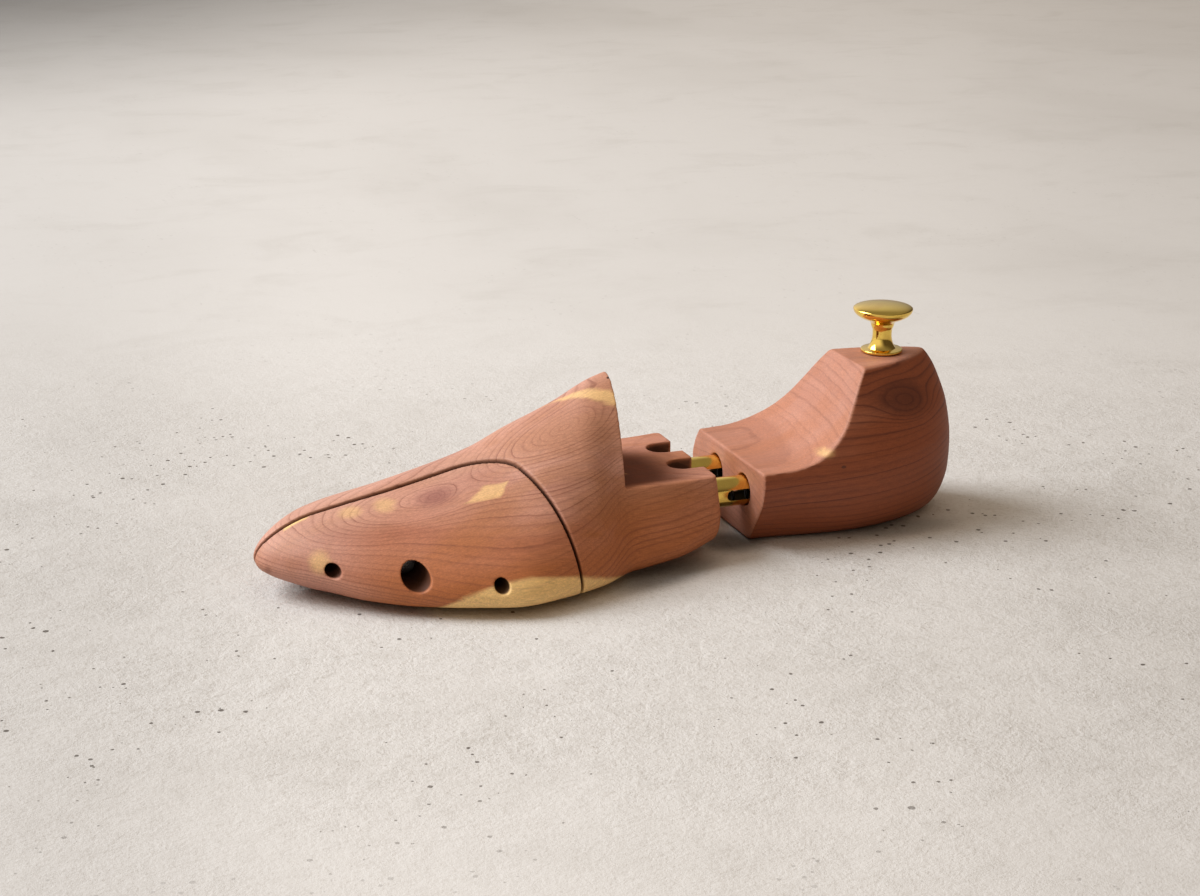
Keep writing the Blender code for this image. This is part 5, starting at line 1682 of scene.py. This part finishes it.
def growth_lines(bench, place, growth, year):
    """Strength of the dark line that ends each year."""
    uneven = bench.times(bench.noise_along(growth, 0.30), YEAR_UNEVENNESS * year)
    years = bench.math("DIVIDE", bench.plus(growth, uneven), year)
    line = bench.curve(bench.math("FRACT", years), RING_PROFILE)
    this_year = bench.spread(bench.chance(bench.math("FLOOR", years)), 0.0, 1.0, FAINTEST_YEAR, 1.0)
    worn = bench.spread(along_grain(bench, place, WEAR_STRETCH, 3.0, 0.6), 0.30, 0.62, WORN_LINE, 1.0)
    return bench.times(line, bench.times(this_year, worn))


print("one year of growth has", len(RING_PROFILE), "stops")

# %% [markdown]
# Colour comes in layers over that. Heartwood drifts between pink, rose and orange-brown, in bands that
# follow the rings; sapwood stays pale yellow and lies in streaks; close to a knot the wood turns purple.
# Last come the fibres, which are much finer than the rings and always run along the block, and the short
# flecks of the rays.

# %% Colour of the wood
PINK = (0.600, 0.295, 0.216)
ROSE = (0.425, 0.168, 0.115)
# Painted light on the upper wood and on the nose.
TOP_PAINTED_LIGHT = (0.640, 0.370, 0.285)
ORANGE = (0.430, 0.168, 0.076)
LOW_PAINTED_SHADE = (0.470, 0.148, 0.044)
# Painted shade low down on the forepart.
LATEWOOD = (0.200, 0.058, 0.032)
PURPLE = (0.300, 0.108, 0.088)
SAPWOOD = (0.900, 0.600, 0.250)
KNOT_BROWN = (0.085, 0.030, 0.018)
# Painted shade inside cuts and bores.
CUT_PAINTED_SHADE = (0.060, 0.022, 0.012)
# Painted shadow of the instep on the tail's top.
INSTEP_PAINTED_SHADOW = (0.110, 0.026, 0.008)
FOREPART_TONE = {
    "light": PINK, "dark": ROSE, "warm": ORANGE, "line": LATEWOOD, "line_strength": 0.68,
}
CLOUD_STRETCH = (0.012, 0.05, 0.05)
FIBRE_STRETCH = (0.07, 2.1, 2.1)
HAIR_STRETCH = (0.22, 5.5, 5.5)
FLECK_STRETCH = (1.9, 0.55, 1.3)


def lay_heartwood(bench, place, plain_growth, line, painted_light_and_shade, tone):
    """The plain wood: slow drifts of colour, one shade per few years, broad painted light and shade, and dark
    lines.
    """
    clouds = along_grain(bench, place, CLOUD_STRETCH, 3.0, 0.55, 0.4)
    bands = bench.noise_along(plain_growth, 0.16, 3.0)
    colour = bench.mix(bench.spread(bands, 0.32, 0.78), tone["light"], tone["dark"])
    colour = bench.mix(bench.spread(clouds, 0.40, 0.68), colour, tone["warm"])
    for share, shade in painted_light_and_shade:
        colour = bench.mix(share, colour, shade)
    return bench.mix(bench.times(line, tone["line_strength"]), colour, tone["line"])


def lay_fibres(bench, place, colour):
    """Fine fibres along the block, and the flecks of the rays across it."""
    fibres = along_grain(bench, place, FIBRE_STRETCH, 3.0, 0.65)
    hair = along_grain(bench, place, HAIR_STRETCH, 2.0, 0.6)
    flecks = along_grain(bench, place, FLECK_STRETCH, 2.0, 0.5)
    shade = bench.times(
        bench.spread(fibres, 0.28, 0.72, 0.86, 1.09), bench.spread(hair, 0.28, 0.72, 0.88, 1.09),
        bench.spread(flecks, 0.30, 0.75, 0.95, 1.05),
    )
    return bench.dim(colour, shade), fibres


print("heartwood between", PINK, "and", ROSE)

# %% [markdown]
# Bare sanded cedar has only a weak, wide sheen, with a little more shine on the hard fibres. Where a saw,
# a cutter or a drill went in, hardly any light comes back out, so painted shade darkens the colour over the
# first two millimetres of the stored depth. Real light would do most of that alone, but the narrow cuts
# need help.

# %% Sheen, depth and relief of the wood
WOOD_SHEEN = 0.36
UNSANDED_DULLNESS = 0.36
CUT_DEPTHS = (0.15, 1.8)
CUT_SHADE_SHARE = 0.92


def finish_wood(bench, shader, colour, fibres, line, unsanded=0.0):
    """Paints shade into cuts by their depth, dulls what was not sanded, and adds sheen and fine relief."""
    # Painted shade deepens with the stored cut depth.
    colour = bench.stain(colour, bench.stored("cut_depth"), *CUT_DEPTHS, CUT_SHADE_SHARE, CUT_PAINTED_SHADE)
    sanded = bench.spread(fibres, 0.25, 0.75, 0.50, 0.64)
    rough = bench.times_plus(unsanded, UNSANDED_DULLNESS, sanded)
    bench.fill(shader, Base_Color=colour, Roughness=rough, Specular_IOR_Level=WOOD_SHEEN)
    bench.bump(shader, bench.minus(fibres, bench.times(line, 0.6)), 0.05 * MM, 0.5)


print("cuts darken between", CUT_DEPTHS, "mm")

# %% [markdown]
# Now the marks of this one piece of wood, placed in millimetres where the photograph has them: two knots
# on the toe and instep, the pale diamond behind the first, the pale band along the sole, the streak on
# the instep and the halo round the front hole. Their edges are stirred with noise along the grain. The
# wood is browner low down as painted shade, and paler towards the top and most on the toe as painted
# light. The tail's top behind the instep is dark with a painted shadow of the instep, and duller, where
# the milled face was never sanded.

# %% Marks of the forepart
TOE_SLOPE = (0.0, math.radians(-14.0), 0.0)
INSTEP_SLOPE = (0.0, math.radians(-30.0), 0.0)
TOE_KNOT = (-186.3, -18.7, 32.8)
INSTEP_KNOT = (-135.5, -13.6, 52.0)
FOREPART_LOG = {
    "pith": (-180.0, 4.0, -120.0), "lean": 0.07, "bend": 0.0026, "bend_from": 20.0,
    "waver": [((0.008, 0.020, 0.020), 5.0), ((0.030, 0.10, 0.10), 1.0), ((0.20, 0.55, 0.55), 0.30)],
}
FOREPART_YEAR = 1.5
FOREPART_EYES = [
    ((-196.0, -16.5, 31.0), (30.0, 14.0, 14.0), TOE_SLOPE),
    ((-138.0, -13.5, 51.0), (36.0, 20.0, 18.0), INSTEP_SLOPE),
]
FOREPART_HILLS = [
    (TOE_KNOT, (11.0, 8.5, 8.5), TOE_SLOPE, 12.0, 1.1),
    ((-200.0, -15.5, 30.5), (24.0, 11.0, 12.0), TOE_SLOPE, 9.0, 2.0),
    (INSTEP_KNOT, (30.0, 13.0, 11.5), INSTEP_SLOPE, 17.0, 1.3),
]
TOE_KNOT_TINT = ((12.0, 8.5, 8.0), 0.75)
DIAMOND = [(-178.0, -26.8), (-169.3, -22.0), (-161.2, -24.7), (-165.8, -29.7)]
SOLE_BAND = [
    (-200.0, -5.0), (-198.0, 1.5), (-188.0, 8.2), (-176.0, 12.2), (-163.0, 13.6), (-147.0, 11.0),
    (-136.0, 7.5), (-126.0, 4.2), (-112.0, -1.0), (-112.0, -5.0),
]
INSTEP_STREAK = [(-136.0, 6.0), (-112.0, -9.5), (-112.0, -14.0), (-121.0, -9.2)]
TOE_STREAK = [(-239.0, -8.5), (-239.0, -5.5), (-229.0, -5.0), (-231.0, -8.0)]
# Painted light on top of the toe.
NOSE_PAINTED_LIGHT = [
    ((-226.0, -6.0, 28.0), (46.0, 30.0, 22.0), 0.55), ((-180.0, -5.0, 40.0), (26.0, 14.0, 12.0), 0.45),
]
SAP_LOBES = [
    ((-203.9, -14.5, 30.6), (5.5, 6.5, 4.8), 0.45), ((-216.3, -12.6, 28.9), (6.0, 5.5, 4.2), 0.42),
    ((-231.2, -27.0, 16.8), (5.4, 8.0, 5.6), 0.55),
]
NOSE_SHADOW = ((-246.8, -13.1, 10.8), (1.6, 4.0, 3.4), 0.5)
CREST_SPECK = ((-114.2, -1.8, 64.9), (0.8, 0.8, 0.8))
print("forepart has", len(FOREPART_HILLS), "hills and", len(SAP_LOBES), "lobes of sapwood")

# %% [markdown]
# One material serves both pieces of the forepart. It lays heartwood, the toe knot, sapwood and fibres over
# each other, one step at a time. The bands of colour follow the plain rings, without eyes and hills,
# because a levelled eye would fill with a single shade.

# %% Cedar of the forepart
def stirred(bench, place, along, across):
    """The place, shaken a little so that outlines drawn on it get a natural edge."""
    shake = bench.noise(bench.stretch(place, (0.06, 0.40, 0.40)), 1.0, 3.0, 0.55, colour=True)
    shake = bench.vector("SUBTRACT", shake, (0.5, 0.5, 0.5))
    return bench.vector("ADD", place, bench.stretch(shake, (along, across, across)))


def forepart_painted_light_and_shade(bench, place, tail_top):
    """Painted light and shade on the forepart: pairs of share and colour."""
    x, y, z = bench.split(place)
    # Painted shade low down, painted light higher up and on the nose.
    low = bench.times(bench.spread(z, 12.0, 36.0, 0.90, 0.0), bench.spread(x, -235.0, -205.0))
    painted_light_and_shade = [(low, LOW_PAINTED_SHADE), (bench.spread(z, 22.0, 44.0, 0.0, 0.30), TOP_PAINTED_LIGHT)]
    for centre, radii, share in NOSE_PAINTED_LIGHT:
        painted_light_and_shade.append((bench.times(patch(bench, place, centre, radii, core=0.2), share), TOP_PAINTED_LIGHT))
    # Painted shadow of the instep on the tail's top.
    instep_shadow = bench.times(
        bench.spread(x, -104.0, -84.0, 0.90, 0.0), bench.spread(y, -30.0, -25.0),
        bench.spread(y, 0.0, 16.0, 1.0, 0.0),
    )
    painted_light_and_shade.append((bench.times(instep_shadow, tail_top), INSTEP_PAINTED_SHADOW))
    return painted_light_and_shade


def forepart_sapwood(bench, place):
    """Share of sapwood: the diamond, the band, both streaks and the lobes."""
    _, real_y, real_z = bench.split(place)
    upper = bench.spread(real_z, 18.0, 22.0)
    outer = bench.spread(real_y, -15.0, -22.0)
    x, y, z = bench.split(stirred(bench, place, 5.0, 1.0))
    sap = bench.times(fenced(bench, x, y, DIAMOND, 0.8), bench.times(upper, 0.60))
    sap = bench.most(sap, bench.times(fenced(bench, x, z, SOLE_BAND, 1.0), outer))
    sap = bench.most(sap, bench.times(fenced(bench, x, y, INSTEP_STREAK, 1.0), bench.times(upper, 0.70)))
    sap = bench.most(sap, bench.times(fenced(bench, x, y, TOE_STREAK, 0.8), upper))
    for centre, radii, share in SAP_LOBES:
        lobe = patch(bench, stirred(bench, place, 3.0, 1.5), centre, radii, core=0.25)
        sap = bench.most(sap, bench.times(lobe, share))
    return sap


def make_forepart_cedar():
    material, bench, shader = new_material("aromatic_cedar")
    place = place_in_mm(bench)
    x, _, z = bench.split(place)
    growth = growth_distance(bench, place, FOREPART_LOG, FOREPART_EYES, FOREPART_HILLS)
    plain_growth = growth_distance(bench, place, FOREPART_LOG, [], [])
    line = growth_lines(bench, place, growth, FOREPART_YEAR)
    tail_top = bench.times(
        bench.spread(z, 30.3, 31.0), bench.spread(z, 31.8, 33.5, 1.0, 0.0), bench.spread(x, -120.5, -118.5),
    )
    painted_light_and_shade = forepart_painted_light_and_shade(bench, place, tail_top)
    colour = lay_heartwood(bench, place, plain_growth, line, painted_light_and_shade, FOREPART_TONE)
    tint_radii, tint_share = TOE_KNOT_TINT
    tint = patch(bench, place, TOE_KNOT, tint_radii, core=0.1)
    colour = bench.mix(bench.times(tint, tint_share), colour, PURPLE)
    pale = bench.mix(bench.times(line, 0.30), SAPWOOD, PINK)
    colour = bench.mix(forepart_sapwood(bench, place), colour, pale)
    centre, radii, share = NOSE_SHADOW
    colour = bench.mix(bench.times(patch(bench, place, centre, radii, core=0.2), share), colour, LATEWOOD)
    colour = bench.mix(patch(bench, place, *CREST_SPECK), colour, KNOT_BROWN)
    colour, fibres = lay_fibres(bench, place, colour)
    finish_wood(bench, shader, colour, fibres, line, tail_top)
    return material


FOREPART_CEDAR = make_forepart_cedar()
print("forepart cedar has", len(FOREPART_CEDAR.node_tree.nodes), "nodes")

# %% [markdown]
# The heel block came from a darker, faster grown log, with rings 2.6 mm apart, a dark swirl under
# the platform on the outer side and a pale fleck at the edge of the scoop. The sides that are turned away
# from the window get a deeper colour and stronger lines as painted shade, and those turned to it fainter
# lines as painted light. The stored facing gives that; a second material for those sides would leave a
# seam.

# %% Cedar of the heel block
SWIRL_SLOPE = (0.0, math.radians(6.0), 0.0)
HEEL_SWIRL = (0.0, -23.0, 50.5)
HEEL_LOG = {
    "pith": (-20.0, 12.0, -135.0), "lean": 0.03, "bend": 0.0, "bend_from": 0.0,
    "waver": [((0.009, 0.022, 0.022), 5.0), ((0.035, 0.11, 0.11), 1.2), ((0.20, 0.55, 0.55), 0.35)],
}
HEEL_YEAR = 2.6
HEEL_EYES = [(HEEL_SWIRL, (17.0, 12.0, 8.0), SWIRL_SLOPE)]
HEEL_HILLS = [(HEEL_SWIRL, (13.0, 10.0, 6.0), SWIRL_SLOPE, 11.0, 1.2)]
HEEL_SWIRL_RADII = (22.0, 18.0, 10.0)
HEEL_STREAK = ((-38.0, -29.0, 35.6), (4.5, 10.0, 2.4), (0.0, 0.0, math.radians(15.0)))
HEEL_SPECK = ((-31.5, -33.0, 30.2), (1.3, 1.0, 0.7))
# Painted shade for the sides turned away from the window.
HEEL_PAINTED_SHADE = (0.290, 0.072, 0.024)
SWIRL_BROWN = (0.120, 0.030, 0.014)
HEEL_TONE = {
    "light": (0.530, 0.248, 0.172), "dark": (0.460, 0.198, 0.130), "warm": (0.480, 0.195, 0.110),
    "line": (0.115, 0.027, 0.014), "line_strength": 0.88,
}


def make_heel_cedar():
    material, bench, shader = new_material("dark_cedar")
    place = place_in_mm(bench)
    growth = growth_distance(bench, place, HEEL_LOG, HEEL_EYES, HEEL_HILLS)
    plain_growth = growth_distance(bench, place, HEEL_LOG, [], [])
    window_facing = bench.stored("window_facing")
    # Painted shade on the sides turned away from the window, and fainter lines on the sides turned to it, as
    # painted light.
    painted_shade = bench.spread(window_facing, -0.18, 0.30, 0.95, 0.0)
    line = growth_lines(bench, place, growth, HEEL_YEAR)
    line = bench.times(line, bench.spread(window_facing, -0.10, 0.40, 1.0, 0.35))
    colour = lay_heartwood(bench, place, plain_growth, line, [(painted_shade, HEEL_PAINTED_SHADE)], HEEL_TONE)
    swirl = patch(bench, stirred(bench, place, 8.0, 2.0), HEEL_SWIRL, HEEL_SWIRL_RADII, core=0.2)
    swirl = bench.times(swirl, bench.spread(line, 0.0, 0.8, 0.78, 0.98))
    colour = bench.mix(swirl, colour, SWIRL_BROWN)
    sap = patch(bench, stirred(bench, place, 3.0, 1.5), *HEEL_STREAK, core=0.1)
    colour = bench.mix(bench.times(sap, 0.60), colour, SAPWOOD)
    colour = bench.mix(bench.times(patch(bench, place, *HEEL_SPECK), 0.8), colour, KNOT_BROWN)
    colour, fibres = lay_fibres(bench, place, colour)
    finish_wood(bench, shader, colour, fibres, line)
    return material


HEEL_CEDAR = make_heel_cedar()
print("heel cedar has", len(HEEL_CEDAR.node_tree.nodes), "nodes")

# %% [markdown]
# The three blocks get their finish now that it exists, one slot each, because the cutters left empty
# slots behind. The plug that closes the hole of the cross pin is turned from the same wood as the heel.

# %% Dress the wood
PLUG_EASE = 0.1 * MM

plug_start = STOP_PIN_REACH + SEAT_GAP
plug_outline = rod_outline(pin_radius, plug_start, plug_start + PIN_PLUG_LENGTH, PLUG_EASE)
plug = turn("pin_plug_wood", plug_outline, "Y", pin_place, HEEL_CEDAR)
for wood, finish in ((forepart, FOREPART_CEDAR), (toe_side, FOREPART_CEDAR), (heel, HEEL_CEDAR)):
    wood.data.materials.clear()
    wood.data.materials.append(finish)
    print(wood.name, "finished with", finish.name)

# %% [markdown]
# ## What moves with what
#
# Every new piece names the body that it rides on and the imported node that it stands for. The springs
# are the one soft thing here: each is pressed between two bodies and gets a mesh of its own, and for the
# tube springs the length left when the joint closes is printed.

# %% Hand the pieces over to the frame
def hand_over(piece, node, body):
    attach(piece, body)
    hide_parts(node)


hand_over(forepart, "forepart_block", "forepart")
hand_over(toe_side, "toe_side_block", "toe_section")
hand_over(heel, "heel_block", "heel")
hand_over(plug, "heel_pin_plug", "heel")
hand_over(knob, "heel_knob", "heel")
hand_over(stud, "knob_stud", "heel")
hand_over(stop_pin, "heel_stop_pin", "heel")
for node, piece in toe_hardware.items():
    hand_over(piece, node, "forepart")
for side_name in SIDES:
    hand_over(tubes[side_name], f"tube_{side_name}", "forepart")
    for kind, body, slot in (
        ("tube_anchor_pin", "forepart", "zinc_steel"), ("spring_seat", "forepart", "polished_brass"),
        ("spring_follower", "heel", "polished_brass"),
    ):
        node = f"{kind}_{side_name}"
        hand_over(tube_parts[node], node, body)
    hand_over(tube_springs[side_name], f"tube_spring_{side_name}", "forepart")
hand_over(toe_spring, "toe_spring", "forepart")

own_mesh(toe_spring)
tube_room = TUBE_SPRING_END_X - TUBE_SPRING_START_X
for spring in tube_springs.values():
    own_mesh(spring)
shortest = round((tube_room - HEEL_TRAVEL) / MM, 1)
print("tube springs shorten from", round(tube_room / MM, 1), "to", shortest, "mm")
